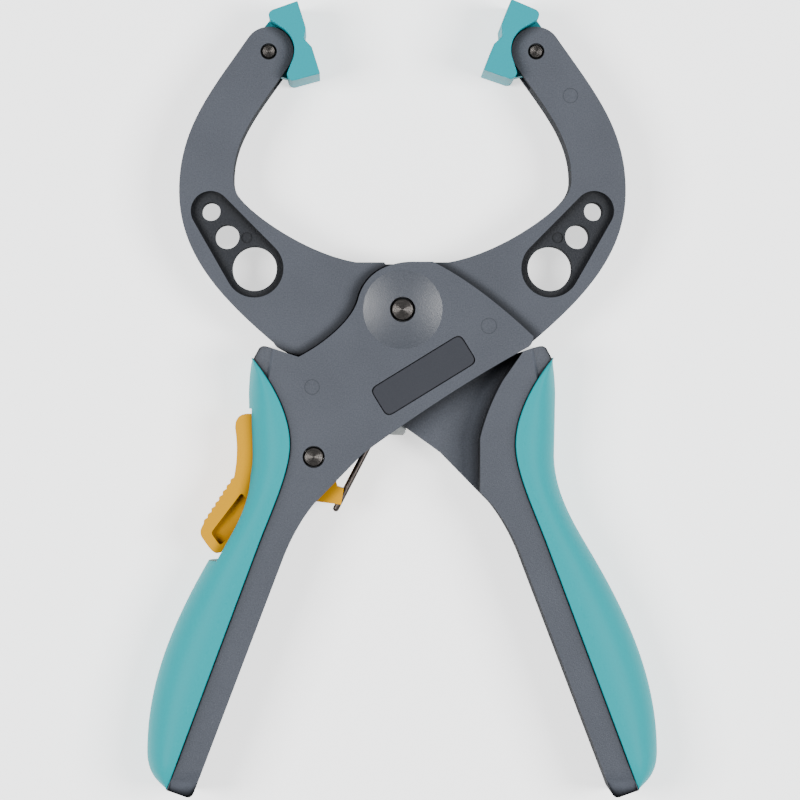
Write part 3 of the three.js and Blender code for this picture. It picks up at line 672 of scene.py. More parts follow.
def grained(name, base, roughness, grain, depth, spread, shade, shine, walls=0.0):
    """Plastic from an etched mould: a fine grain, a slow drift in colour from its flow, and
    painted shade in its creases. The painted shade is the openness squared, which an occlusion
    node measures within a few millimetres. Where walls is above 0, upright walls are rougher,
    and upright walls and the floor of a pocket get painted shade by that share; rounded edges
    get a painted highlight, a paler colour."""
    finish = Finish(name, Roughness=roughness, Specular_IOR_Level=shine)
    fine = finish.noise(grain, 3.0, 0.6)
    slow = finish.noise(45.0, 2.0)
    mix = ((fine - 0.5) * 1.6 + (slow - 0.5) * 0.6 + 0.5).clip()
    # Painted shade: the occlusion node's openness, squared, blends the colour towards a dark
    # crease colour in creases and hollows.
    open_share = finish.node("ShaderNodeAmbientOcclusion", {"samples": 8},
                             {"Distance": 0.0034}, output="AO")
    dark = [channel * (1 - spread) for channel in base]
    light = [channel * (1 + spread) for channel in base]
    crease_shade_colour = [channel * shade for channel in base]
    lit = open_share * open_share
    rough = (fine - 0.5) * 0.3 + roughness
    skin = finish.blend(mix, dark, light)
    # Painted shade: upright walls and the floor of a pocket are darkened by the walls share. Only
    # the extra wall roughness is a real property of the surface.
    if walls:
        facing = finish.node("ShaderNodeNewGeometry", {}, {}, output="Normal")
        flatness = abs(finish.split(facing)[2])
        height = abs(finish.split(finish.place)[2] * (1 / MM) - middle)
        sunk = ((height - pocket_low) * 2).clip() * ((pocket_high - height) * 2).clip()
        lit = lit * (1 - (1 - flatness) * walls) * (1 - sunk * flatness * walls)
        rough = rough + (1 - flatness) * 0.6
        # Painted highlight: rounded edges, between flat and upright, are blended to a paler
        # colour.
        edge = ((0.96 - flatness) * 8).clip() * ((flatness - 0.35) * 4).clip()
        skin = finish.blend(edge, skin, [channel * 2.2 for channel in base])
    finish.feed("Base Color", finish.blend(lit, crease_shade_colour, skin))
    finish.feed("Roughness", rough.clip())
    finish.bump(fine, depth)
    return finish.material


# %% [markdown]
# The colours come from the design record. Plastic looks darker and purer than its chip, because
# its shine adds white, so each colour is made deeper before the lamps brighten it again.

# %% The plastics and rubbers


def paint(slot, depth, purity=1.0):
    """A slot's colour made deeper, and purer by moving its channels away from their mean."""
    colour = np.array(record_colour[slot]) * depth
    return np.clip(colour.mean() + (colour - colour.mean()) * purity, 0.001, 1).tolist()


# The lever plastic gets painted shade on its upright walls and pocket floors, and a painted
# highlight on its rounded edges.
lever_plastic = grained(
    "lever plastic", paint("lever_plastic", 0.42, 1.1), roughness=0.4,
    grain=2400.0, depth=0.0001, spread=0.24, shade=0.1, shine=0.14, walls=0.8)
dish_plastic = grained(
    "dish plastic", paint("lever_plastic", 0.36, 1.15), roughness=0.36,
    grain=2400.0, depth=0.00006, spread=0.24, shade=0.12, shine=0.42)
badge_plastic = grained(
    "badge plastic", paint("badge_plastic", 0.42, 0.8), roughness=0.4,
    grain=3200.0, depth=0.00003, spread=0.08, shade=0.25, shine=0.12)
grip_rubber = grained(
    "grip rubber", paint("grip_rubber", 0.44, 1.35), roughness=0.5,
    grain=1500.0, depth=0.00002, spread=0.04, shade=0.75, shine=0.1)
pad_rubber = grained(
    "pad rubber", paint("pad_rubber", 0.42, 1.4), roughness=0.5,
    grain=1800.0, depth=0.00005, spread=0.05, shade=0.5, shine=0.12)
thumb_plastic = grained(
    "thumb plastic", paint("thumb_plastic", 0.5, 1.3), roughness=0.35,
    grain=1900.0, depth=0.00003, spread=0.04, shade=0.5, shine=0.05)

# %% [markdown]
# Bare steel needs no paint, only its own shine. A turned face has fine rings, and a stamped or
# drawn piece has none, so they are two finishes.

# %% Steels


def turned_steel(name, base, roughness, centre, pitch, depth):
    """Steel faced on a lathe: rings round the axis as a sine of the distance from it."""
    finish = Finish(name, Metallic=1.0, Roughness=roughness)
    x, y, _ = finish.split(finish.place)
    dx = x - centre[0] * MM
    dy = y - centre[1] * MM
    radius = dx.math("SQRT", dx * dx + dy * dy)
    rings = radius.math("SINE", radius * (2 * math.pi / (pitch * MM)))
    drift = finish.noise(400.0, 2.0)
    dark = [channel * 0.8 for channel in base]
    light = [min(1, channel * 1.2) for channel in base]
    finish.feed("Base Color", finish.blend((rings * 0.3 + drift * 0.7).clip(), dark, light))
    finish.feed("Roughness", (drift * 0.08 + (roughness - 0.04)).clip())
    finish.bump(rings, depth * MM)
    return finish.material


def drawn_steel(name, base, roughness):
    """Stamped or drawn steel: long faint scratches and a soft drift in its shine."""
    finish = Finish(name, Metallic=1.0, Roughness=roughness)
    drift = finish.noise(300.0, 3.0)
    fine = finish.noise(4000.0, 2.0)
    dark = [channel * 0.8 for channel in base]
    light = [min(1, channel * 1.15) for channel in base]
    finish.feed("Base Color", finish.blend(drift, dark, light))
    finish.feed("Roughness", (drift * 0.2 + (roughness - 0.1)).clip())
    finish.bump(fine, 0.00002)
    return finish.material


bright_steel = drawn_steel("plated steel", paint("bright_steel", 0.7), 0.34)
spring_steel = drawn_steel("spring steel", record_colour["spring_steel"], 0.42)

# %% [markdown]
# ## The two levers
# Both levers are one moulding; the rear one is turned over. The bar of handle and hub is as deep
# as the whole clamp, the jaw is thinner, and the half of the hub that the other lever fills is
# cut away behind the middle plane.

# %% Outlines that the levers share
jaw = jaw_outline()
bar = bar_outline()
bed = bed_outline(seat_gap)
bed_foot = bed_outline(touch_gap)
lap_part = lap_outline(False)
lap_whole = lap_outline(True)
crown = crown_outline()
pocket = pocket_outline()
badge_bed = badge_outline(0.25)
pad_web = 6.0
fork_reach = 3.4
dish_radius, dish_depth, dish_bed_depth = 12.0, 1.5, 2.6
badge_bed_depth = 0.9
rivet_radius = 3.4
slot_top = thumb_top + run_gap
sector_way_radius, sector_way_low, sector_way_high = 38.9, -4.85, -1.55

relief_depth, relief_from, relief_to = 2.3, -47.0, -76.3
thumb_slot = rounded([
    (-72, -30, 0), (-42, -30, 0), (-37.5, -25, 0), (-27, -22.5, 0), (-22.5, -31, 0),
    (-18.6, -40, 0), (-15, -47, 0), (-15, -66, 0), (-31.5, -60.8, 3), (-43, -73, 2),
    (-49.5, -81.5, 1), (-53.5, -79.8, 1), (-56.3, relief_to, 0), (-72, relief_to, 0)])
marks = [((51, 65), 2.3, jaw_top), ((-27.4, -23.5), 2.3, hub_top), ((26, -5), 2.4, hub_top)]
mark_depth = 0.12
pocket_mark, pocket_mark_radius, pocket_mark_depth = (47.3, 22), 1.7, 0.5
end_from = -138.5
end_lines = [closed((-90, y), (-40, y), (-40, y - 30), (-90, y - 30))
             for y in end_from - np.array([0, 2, 4, 6])]
head_line_x = -39.4
head_lines = [closed((x + 2.2, -6), (x - 2.2, -26), (x - 30, -26), (x - 30, -6))
              for x in head_line_x - np.array([0, 0.45, 0.9, 1.4, 3.0])]


# %% [markdown]
# Each hollow of a lever is an outline and two heights: fork, bores, dish, plate bed, pocket,
# moulding marks, and in the front lever the slots for the thumb lever and the sector.

# %% Hollows of a lever


def pin_bore(at, radius, top):
    """A close bore for a pin, and the fine ring that its bevel leaves at both faces."""
    ring = circle(at, radius + run_gap)
    return [(circle(at, radius + touch_gap), -DEEP, DEEP), (ring, top - groove_depth, DEEP),
            (ring, -DEEP, groove_depth - top)]


def lever_shape(front):
    """The shared moulding, with the thumb lever's slot and pin bore in the front one."""
    dot = circle(pocket_mark, pocket_mark_radius)
    cuts = [(bed_foot, -DEEP, DEEP), (bed, hub_top - groove_depth, DEEP),
            (bed, -DEEP, groove_depth - hub_top),
            (lap_part, -DEEP, lap_level), (lap_whole, -DEEP, -jaw_top),
            (crown, lap_level, jaw_top + run_gap),
            (circle(pad_pin, nose_radius + fork_reach), -pad_web / 2 - run_gap,
             pad_web / 2 + run_gap),
            (circle((0, 0), rivet_radius + touch_gap), -DEEP, DEEP),
            (circle((0, 0), dish_radius), hub_top - dish_bed_depth, DEEP),
            (badge_bed, hub_top - badge_bed_depth, DEEP),
            (pocket, jaw_top - pocket_depth, DEEP),
            (pocket, -DEEP, pocket_depth - jaw_top),
            (dot, jaw_top - pocket_depth - pocket_mark_depth, DEEP),
            (dot, -DEEP, pocket_depth + pocket_mark_depth - jaw_top)]
    cuts += [(circle(at, radius), -DEEP, DEEP) for at, radius in holes]
    cuts += [(circle(at, radius), top - mark_depth, DEEP) for at, radius, top in marks]
    cuts += pin_bore(pad_pin, pad_pin_radius, jaw_top)
    if front:
        cuts += pin_bore(thumb_pin, thumb_pin_radius, hub_top)
        cuts += [(thumb_slot, -slot_top, slot_top),
                 (circle((0, 0), sector_way_radius), sector_way_low, sector_way_high)]
    adds = [(bar, -hub_top, hub_top), (jaw, -jaw_top, jaw_top)]
    return carve(adds, cuts, end_lines + head_lines)


# %% [markdown]
# Carving gives flat faces only. The handle's face falls away at both ends, so the points there
# are lowered afterwards. The lines carved across the handle give the slope points to bend at.

# %% Ease both ends of the handle


def ease_handle(points):
    """Lowers both faces towards the handle's end and towards the back of its head.

    Towards the end, the drop is a depth times the square of the share of the way from the
    line where it starts. At the head it is a short ramp past a slanted line, and then a
    slower one.
    """
    x, y, z = points.T
    end_length, end_drop, head_ramp = 8.5, 3.0, 0.9
    end = np.clip((end_from - y) / end_length, 0, 1) ** 2 * end_drop
    past = head_line_x - x + 0.22 * (y + 16)
    head = np.clip(past / head_ramp, 0, 1) * head_ramp + np.clip(past - 1, 0, 6) * 0.1
    head = head * (y > -60) * (y < -11)
    outer = np.abs(z) > hub_top - 0.5
    return np.column_stack([x, y, z - np.sign(z) * (end + head) * outer])


# %% [markdown]
# A mould is rounded by hand where it shows and left crisp where it fits, so the radius depends
# on where an edge lies.

# %% Rounding of a lever's edges
wide_round, fine_round = 1.6, 0.12


def lever_radius(middles, convex, level):
    """How much each edge of a lever is rounded, in millimetres.

    Later lines go over earlier ones: outer edges, edges inside the clamp, the wide fillet
    where the jaw's face meets the hub, upright edges, and then the rims of the hollows.
    """
    height = np.abs(middles[:, 2])
    radius = np.where(convex, 0.65, 0.3)
    radius = np.where(level & (height < jaw_top - 0.4), fine_round, radius)
    crease = level & ~convex & (np.abs(height - jaw_top) < 0.1)
    radius = np.where(crease, wide_round, radius)
    radius = np.where(~level, 0.25, radius)
    radius = np.where(near(middles, pocket, 0.3) & level, 0.5, radius)
    radius = np.where(near(middles, bed, 0.3) & level, 0.3, radius)
    radius = np.where(near(middles, badge_bed, 0.2) & level, fine_round, radius)
    for ring in [circle(at, size) for at, size, _ in marks] + [circle((0, 0), dish_radius)]:
        radius = np.where(near(middles, ring, 0.2), 0, radius)
    for at, size in ((pad_pin, pad_pin_radius), (thumb_pin, thumb_pin_radius),
                     ((0, 0), rivet_radius)):
        rim = circle(at, size + run_gap)
        radius = np.where(near(middles, rim, 0.3) & level, fine_round, radius)
    return radius


# %% The dish round the rivet


def dish_shape():
    """The hollow round the rivet: a parabola carried round the pivot.

    Its depth at a radius is the full depth times one less the square of radius over rim.
    """
    inner = rivet_radius + run_gap + 0.1
    radius = np.linspace(inner, dish_radius, 12)
    height = hub_top - dish_depth * (1 - (radius / dish_radius) ** 2)
    profile = np.stack([radius, height], axis=1)
    floor_level = hub_top - dish_bed_depth
    profile = np.concatenate([profile, [[dish_radius, floor_level], [inner, floor_level]]])
    return revolve(profile, closes=True)


# %% [markdown]
# The rear lever is the front one turned over, so its points change sign in x and z. The dish
# is a piece of its own, because a shape carried round an axis is smoother than a carved one.

# %% Make both levers
for front, name, body in ((True, "front_lever", "front_arm"), (False, "rear_lever", "rear_arm")):
    points, faces = lever_shape(front)
    points = placed(ease_handle(points), over=not front)
    lever = new_piece(f"{name}_moulding", points, faces, body, lever_plastic,
                      [name])
    turned_over = (1, 1, 1) if front else (-1, 1, -1)
    round_edges(lever, lambda mids, convex, level, way=turned_over:
                lever_radius(mids * way, convex, level), wide_round)
    points, faces = dish_shape()
    new_piece(f"{name}_dish", placed(points, over=not front), faces, body,
              dish_plastic)

# %% [markdown]
# ## Soft grips
# Each grip is rubber moulded over the back of its handle. Its face rolls away towards the palm,
# so its section is a small lip by the handle and then a squarish quarter round. The section is
# lofted between two lines: the border on the handle and the back edge. Both end at the same
# point, where the end sections keep a small width so that the loft stays a closed solid.

# %% Loft a grip


def along(points, count):
    """Points spread evenly by length along an open line."""
    step = np.linalg.norm(np.diff(points, axis=0), axis=1)
    length = np.concatenate([[0], np.cumsum(step)])
    even = np.linspace(0, length[-1], count)
    return np.stack([np.interp(even, length, points[:, k]) for k in (0, 1)], axis=1)


def grip_shape(sections=170):
    """Sections across the grip, lofted from its head to its foot.

    At each share of the length, a section runs from the border to the back edge. With an
    angle f from 0 to 90 degrees, its roll goes out by c + (width - c) sin(f)^(2/m) and stands
    at height * cos(f)^(2/m), a superellipse of order m that starts c away from the border.
    """
    narrowest, lip_radius = 0.3, 0.45
    border = along(grip_border(0), sections)
    waist_end = np.array([waist_x - 0.4, stop[1] - 15])
    back_line = np.concatenate([curve(grip_head, (waist_x - 0.3, stop[1] - 8), waist_end),
                                back_edge()[::-1]])
    back = along(back_line, sections)
    back[[0, -1]] -= (narrowest, 0)
    across = back - border
    width = np.maximum(np.linalg.norm(across, axis=1), narrowest)
    share = np.linspace(0, 1, sections)
    foot = np.clip((share - 0.93) / 0.07, 0, 1) ** 2 * 2.6
    head = np.clip((0.08 - share) / 0.08, 0, 1) ** 2 * 1.6
    height = grip_top - foot - head
    lip = np.minimum(lip_radius, width * 0.2)[:, None]
    flat = (lip[:, 0] + (width - lip[:, 0]) * 0.16)[:, None]
    ease = np.radians([0, 30, 60, 90])
    order = (1.5 + 0.75 * np.clip(share / 0.15, 0, 1))[:, None]
    roll = np.radians(np.linspace(4, 90, 22))
    u_lip = lip * (1 - np.cos(ease))
    z_lip = height[:, None] - lip * (1 - np.sin(ease))
    u_roll = flat + (width[:, None] - flat) * np.sin(roll) ** (2 / order)
    z_roll = height[:, None] * np.cos(roll) ** (2 / order)
    z_roll[:, -1] = 0
    u = np.concatenate([u_lip, u_roll], axis=1)
    z = np.concatenate([z_lip, z_roll], axis=1)
    u = np.concatenate([u, u[:, -2::-1]], axis=1)
    z = np.concatenate([z, -z[:, -2::-1]], axis=1)
    unit = across / width[:, None]
    flat_points = border[:, None] + u[..., None] * unit[:, None]
    points = np.concatenate([flat_points, z[..., None]], axis=2)[:, ::-1]
    columns = points.shape[1]
    faces = grid_faces(sections, columns)
    faces.append(list(range(columns)))
    faces.append(list(range((sections - 1) * columns, sections * columns))[::-1])
    return points.reshape(-1, 3), faces


# %% Cut a closed shape out of a piece


def cut_out(piece, points, faces):
    """Takes a closed shape away from a piece and keeps the result as its mesh."""
    mesh = bpy.data.meshes.new("cutter")
    mesh.from_pydata(points.tolist(), [], faces)
    cutter = bpy.data.objects.new("cutter", mesh)
    bpy.context.scene.collection.objects.link(cutter)
    boolean = piece.modifiers.new("cut", "BOOLEAN")
    boolean.object = cutter
    boolean.solver = "EXACT"
    graph = bpy.context.evaluated_depsgraph_get()
    result = bpy.data.meshes.new_from_object(piece.evaluated_get(graph))
    piece.modifiers.clear()
    piece.data = result
    bpy.data.objects.remove(cutter)
    bpy.data.meshes.remove(mesh)
    result.shade_smooth()
    result.set_sharp_from_angle(angle=math.radians(35))


relief = closed(
    (waist_x - 20, relief_from),
    curve((waist_x, relief_from), (waist_x + relief_depth - 0.7, relief_from - 11),
          flare + (relief_depth + 5.9, relief_to - flare[1] + 8.8),
          (flare[0] + relief_depth + 1.1, relief_to)),
    (flare[0] - 20, relief_to))

# %% [markdown]
# The thumb lever works in a slot through the front grip and a relief in its back. A loft has
# no outline to carve, so these are taken out by a Boolean, once, and kept in the mesh.

# %% Make both grips
for front, name, body in ((True, "front_grip", "front_arm"), (False, "rear_grip", "rear_arm")):
    points, faces = grip_shape()
    grip = new_piece(f"{name}_skin", placed(points, over=not front), faces, body,
                     grip_rubber, [name], sharp=50)
    if front:
        adds = [(thumb_slot, -slot_top, slot_top), (relief, -DEEP, DEEP)]
        points, faces = carve(adds, [])
        cut_out(grip, placed(points), faces)

# %% [markdown]
# ## Pads
# A pad is a block of rubber with a saddle that fits the jaw's round nose, a groove down its face
# for round work, and a thin web that reaches into the fork and round the pin.

# %% Shape of a pad
pad_depth = 24.0
pad_wing, pad_thickness = 4.0, 5.3
pad_shoulder, pad_heel, wing_fall = 3.1, 0.75, 2.2
pad_boss_radius = 6.0
face_groove_width, face_groove_depth = 6.2, 1.5


def pad_shape():
    """Wings on both sides of the web, with the pin at the origin and the face along +X."""
    y = nose_radius + pad_wing
    reach = nose_radius + pad_thickness
    saddle = nose_radius + run_gap
    heel = np.array([pad_shoulder, saddle + pad_heel])
    turn = math.degrees(math.atan2(heel[1], heel[0]) - math.acos(saddle / np.linalg.norm(heel)))
    upper = np.array([(pad_shoulder + 1.6, y - 0.3), (pad_shoulder, y - 0.6),
                      (pad_shoulder, y - wing_fall)])
    face = [(reach, -y), (reach, -face_groove_width / 2), (reach - face_groove_depth, 0),
            (reach, face_groove_width / 2), (reach, y)]
    wing = closed(face, curve(*upper), heel, arc((0, 0), saddle, turn, -turn, 4), heel * (1, -1),
                  curve(*(upper[::-1] * (1, -1))))
    corner = np.array([pad_shoulder, y - wing_fall])
    spread = math.degrees(math.acos(pad_boss_radius / np.linalg.norm(corner)))
    facing = math.degrees(math.atan2(corner[1], corner[0]))
    web = closed((reach - 3, -corner[1]), (reach - 3, corner[1]), corner,
                 arc((0, 0), pad_boss_radius, facing + spread, 360 - facing - spread),
                 corner * (1, -1))
    adds = [(wing, -pad_depth / 2, pad_depth / 2), (web, -pad_web / 2, pad_web / 2)]
    return carve(adds, [(circle((0, 0), pad_pin_radius + run_gap), -DEEP, DEEP)])


def pad_radius(middles, convex, level):
    """Edges of the rubber are eased; where the web meets the wings there is a fillet."""
    inner = np.abs(middles[:, 2]) < pad_web / 2 + 0.1
    return np.where(level & inner, np.where(convex, 0.3, 0.9), np.where(convex, 0.55, 0.4))


# %% [markdown]
# At rest each pad leans a little, as a loose pad does. The design model's mounts give the way
# its face looks.

# %% Make both pads
pad_faces = {mount["name"]: mount["axis"] for mount in frame["record"]["mounts"]}
for side, sign in (("left", -1), ("right", 1)):
    axis = pad_faces[f"{side}_pad_face"]
    turn = math.degrees(math.atan2(axis[1], axis[0]))
    points, faces = pad_shape()
    points = placed(points, turn=turn, at=pad_pin * (sign, 1))
    pad = new_piece(f"{side}_pad_rubber", points, faces, f"{side}_pad_body",
                    pad_rubber, [f"{side}_pad"])
    round_edges(pad, pad_radius, 0.9)

# %% [markdown]
# ## Thumb lever
# The amber lever has a ribbed finger pad, a boss round its pin, an arm for the pawl and a tab
# that the return wire pushes on. Hollows in both sides keep its walls even, as in any moulding.
# The wire stays straight here, so the tab's slot leaves room for it to pass when the lever is
# pressed.

# %% Outline of the thumb lever
rib_first, rib_last = np.array([-51.2, -51.0]), np.array([-60.4, -65.0])
rib_count, rib_height = 8, 0.5
pawl_angle, sector_radius, arm_gap = -137, 38.2, 1.3
thumb_boss_radius, hollow_depth = 6.2, 3.0
wire_root, wire_tip = np.array([-4.2, -29.6]), np.array([-20.6, -61.3])
wire_radius, wire_height = 0.95, 3.2


def ribs():
    """A wave along the finger pad: its height is the square of a sine of the distance."""
    t = np.linspace(0, 1, rib_count * 8 + 1)[:, None]
    along_pad = rib_last - rib_first
    out = np.array([along_pad[1], -along_pad[0]]) / np.linalg.norm(along_pad)
    wave = np.sin(t * rib_count * math.pi) ** 2
    return rib_first + t * along_pad + out * wave * rib_height


def thumb_outline():
    """Finger pad, spring tab, boss and pawl arm, drawn round from the top of the pad."""
    return closed(
        curve((-46.2, -31.6), (-50.9, -31.2), (-50.8, -36)),
        curve((-50.8, -36), (-49.6, -43.5), rib_first),
        ribs(),
        curve(rib_last, (-62.2, -67.6), (-60.6, -69.6)),
        curve((-60.6, -69.6), (-57.6, -73.9), (-57.0, -74.6), (-54.6, -73.4)),
        curve((-54.6, -73.4), (-44, -66), (-39, -58)),
        (-31, -53.6), (-26.4, -58.2), (-18.6, -59.2), (-17.8, -54.3), (-19.7, -53.7),
        (-20.3, -51.6),
        arc(thumb_pin, thumb_boss_radius, -38, 40),
        (-25.2, -33.5),
        polar(sector_radius + arm_gap, pawl_angle + 4),
        polar(sector_radius + arm_gap, pawl_angle - 6),
        (-38, -28.6), (-41.5, -31.6),
    )


def thumb_radius(middles, convex, level):
    """The finger pad is well rounded, its ribs and hollows less."""
    ribbed = near(middles, closed(ribs(), rib_first + (-0.1, 0)), 0.3)
    hollowed = near(middles, finger_hollow, 0.3)
    radius = np.where(level, 0.9, 0.5)
    radius = np.where(ribbed | hollowed, 0.35, radius)
    return np.where(convex, radius, 0.3)


# %% Make the thumb lever
thumb = thumb_outline()
finger_hollow = rounded([(-48.8, -55.5, 1.0), (-58.2, -67.8, 1.0), (-55.4, -71.6, 1.0),
                         (-44.5, -62, 1.0)])
wire_way = (wire_tip - wire_root) / np.linalg.norm(wire_tip - wire_root)
press_room = 2.6
wire_side = np.array([-wire_way[1], wire_way[0]]) * (wire_radius + run_gap) + (press_room, 0)
wire_notch = closed(wire_root - wire_side, wire_tip + wire_way - wire_side,
                    wire_tip + wire_way + wire_side, wire_root + wire_side)
cuts = [(finger_hollow, thumb_top - hollow_depth, DEEP),
        (finger_hollow, -DEEP, hollow_depth - thumb_top),
        (wire_notch, wire_height - wire_radius - run_gap, wire_height + wire_radius + run_gap),
        (circle(thumb_pin, thumb_pin_radius + run_gap), -DEEP, DEEP)]
points, faces = carve([(thumb, -thumb_top, thumb_top)], cuts)
lever = new_piece("thumb_lever_moulding", placed(points), faces, "thumb",
                  thumb_plastic, ["thumb_lever"])
round_edges(lever, thumb_radius, 0.9)

# %% [markdown]
# ## Steel
# Rivets and pins are turned, the springs are drawn wire, and the sector and the pawl are
# stamped plate. A lathe leaves a bevel and fine rings on the end of a pin, and the rings
# stretch its reflections into a bow tie. A pin is a profile carried round its own axis.

# %% Turned pins
ring_pitch, ring_depth = 0.16, 0.006


def pin_profile(radius, low, high, dimple=0.12, bevel=0.35):
    """A pin's outside from the middle of its top to the middle of its bottom: a shallow cone
    in each end, a bevel, and the side."""
    top = [(0, high - dimple), (radius - bevel - 0.2, high), (radius - bevel, high),
           (radius - 0.12, high - bevel * 0.55), (radius, high - bevel - 0.1)]
    bottom = [(r, low + high - z) for r, z in top[::-1]]
    return top + bottom


def turned_pin(name, node, body, centre, profile):
    """A turned piece in place of one design node."""
    steel = turned_steel(f"{name} face", paint("dark_steel", 0.36), 0.3, centre, ring_pitch,
                         ring_depth)
    points, faces = revolve(profile, centre)
    return new_piece(name, placed(points), faces, body, steel, [node], sharp=30)


# %% Make the rivets and the pins
rivet_low, rivet_high = box_mm("pivot_rivet")
head_radius, head_depth = rivet_high[0], 1.7
low, high = rivet_low[2] - middle, rivet_high[2] - middle
profile = pin_profile(rivet_radius, low, high)[:5] + [
    (rivet_radius, low + head_depth), (head_radius - 0.5, low + head_depth),
    (head_radius, low + head_depth - 0.5), (head_radius, low + 0.5), (head_radius - 0.5, low),
    (head_radius - 0.8, low), (0, low + 0.15)]
turned_pin("main_rivet", "pivot_rivet", "front_arm", (0, 0), profile)
for name, node, body in (("thumb_lever_pin", "thumb_pin", "front_arm"),
                         ("left_jaw_pin", "left_pad_pin", "rear_arm"),
                         ("right_jaw_pin", "right_pad_pin", "front_arm"),
                         ("pawl_rivet_1", "pawl_pin_1", "thumb"),
                         ("pawl_rivet_2", "pawl_pin_2", "thumb")):
    low, high = box_mm(node)
    radius = (high[0] - low[0]) / 2
    profile = pin_profile(radius, low[2] - middle, high[2] - middle, bevel=min(0.35, radius / 4))
    turned_pin(name, node, body, centre_mm(node), profile)
for number in (1, 2):
    low, high = box_mm(f"sector_rivet_{number}")
    radius, head, cap = 1.6, (high[0] - low[0]) / 2, 1.2
    bottom, top = low[2] - middle, high[2] - middle
    profile = [(0, top), (radius - 0.2, top), (radius, top - 0.2), (radius, bottom + cap),
               (head - 0.3, bottom + cap), (head, bottom + cap - 0.3), (head, bottom + 0.35),
               (head - 0.35, bottom), (head - 0.8, bottom), (0, bottom + 0.15)]
    turned_pin(f"sector_rivet_{number}_turned", f"sector_rivet_{number}", "rear_arm",
               centre_mm(f"sector_rivet_{number}"), profile)

# %% [markdown]
# ## Springs and the sleeve
# The opening spring winds round a sleeve on the main rivet, with a leg in each lever. The
# return spring is a straight wire that ends in the thumb lever's tab. Both are a round section
# carried along a path: a helix with two legs, and a line.

# %% Springs and the sleeve
turns, pitch, coil_radius, leg = 5.5, 2.35, 7.4, 11.0
opening_wire_radius = 0.95
rise = turns * pitch
t = np.linspace(0, 1, 200)
coil_angle = math.pi - 2 * math.pi * turns * t
coil = np.stack([coil_radius * np.cos(coil_angle), coil_radius * np.sin(coil_angle),
                 rise * (t - 0.5)], axis=1)
leg_steps = np.linspace(-leg + opening_wire_radius, -0.6, 12)[:, None]
first_leg = coil[0] + leg_steps * (0, 1, 0)
last_leg = coil[-1] + leg_steps[::-1] * (0, 1, 0)
points, faces = wire(np.concatenate([first_leg, coil, last_leg]), opening_wire_radius)
new_piece("opening_spring_wire", placed(points), faces, "front_arm",
          spring_steel, ["opening_spring"], sharp=60)
tuck = wire_radius * wire_way
ends = np.array([[*(wire_root + tuck), wire_height], [*(wire_tip - tuck), wire_height]])
straight = ends[0] + np.linspace(0, 1, 12)[:, None] * (ends[1] - ends[0])
points, faces = wire(straight, wire_radius)
new_piece("return_spring_wire", placed(points), faces, "front_arm",
          spring_steel, ["return_spring"], sharp=60)
sleeve_half, sleeve_bore, sleeve_radius, sleeve_bevel = rise / 2 + 0.6, 3.7, 4.6, 0.15
profile = [(sleeve_bore, sleeve_half), (sleeve_radius - sleeve_bevel, sleeve_half),
           (sleeve_radius, sleeve_half - sleeve_bevel),
           (sleeve_radius, sleeve_bevel - sleeve_half),
           (sleeve_radius - sleeve_bevel, -sleeve_half), (sleeve_bore, -sleeve_half)]
points, faces = revolve(profile, closes=True)
new_piece("pivot_sleeve_tube", placed(points), faces, "front_arm", bright_steel,
          ["pivot_sleeve"])

# %% [markdown]
# ## Sector and pawl
# The sector is a toothed plate on the rear lever, and the pawl on the thumb lever catches its
# teeth. A tooth is one point at the root and one at the tip, repeated round an arc.

# %% Stamped sector and pawl
sector_top, sector_bottom = -1.9, -4.5
tooth_pitch, tooth_height, teeth_from, teeth_to = 2, 1.2, -131, -97
arm_radius, inner_radius, sector_ends = 33.0, 21.0, (-88, -37)
rivet_ring, rivet_angles, rivet_hole = 28.0, (-62, -44), 1.9
pawl_pin_hole, stamped_round = 1.2, 0.25


def sector_outline():
    """Teeth on the head of the sector, then its plain edge, its arm and its inner edge."""
    steps = np.arange(round((teeth_to - teeth_from) / tooth_pitch))[:, None]
    foot = np.radians(teeth_from + steps * tooth_pitch)
    tip = np.radians(teeth_from + (steps + 0.8) * tooth_pitch)
    root = sector_radius - tooth_height
    teeth = np.stack([np.concatenate([root * np.cos(foot), root * np.sin(foot)], axis=1),
                      np.concatenate([sector_radius * np.cos(tip), sector_radius * np.sin(tip)],
                                     axis=1)], axis=1).reshape(-1, 2)
    return closed(polar(inner_radius, teeth_from), teeth,
                  arc((0, 0), sector_radius, teeth_to, sector_ends[0] - 1.5, 3),
                  polar(sector_radius - 1, sector_ends[0]),
                  arc((0, 0), arm_radius, *sector_ends, 3),
                  arc((0, 0), inner_radius, sector_ends[1], teeth_from, 3))


def stamped_radius(middles, convex, level):
    """A stamped edge is only just broken."""
    return np.where(level, stamped_round, 0.1)


cuts = [(circle(polar(rivet_ring, angle), rivet_hole), -DEEP, DEEP) for angle in rivet_angles]
points, faces = carve([(sector_outline(), sector_bottom, sector_top)], cuts)
sector = new_piece("ratchet_plate", placed(points), faces, "rear_arm",
                   bright_steel, ["ratchet_sector"])
round_edges(sector, stamped_radius, stamped_round, 2)
point = polar(sector_radius + run_gap, pawl_angle)
pawl = closed(point, point - (5.4, 3.4), (-35, -38.8), (-28.6, -40.6), point + (0.9, -3))
cuts = [(circle(centre_mm(f"pawl_pin_{k}"), pawl_pin_hole), -DEEP, DEEP) for k in (1, 2)]
points, faces = carve([(pawl, sector_bottom, sector_top)], cuts)
piece = new_piece("pawl_plate", placed(points), faces, "thumb", bright_steel,
                  ["pawl"])
round_edges(piece, stamped_radius, stamped_round, 2)

# %% [markdown]
# ## Name plates
# A plate is let into each hub, flush with it and left blank, with a fine step round its edge.

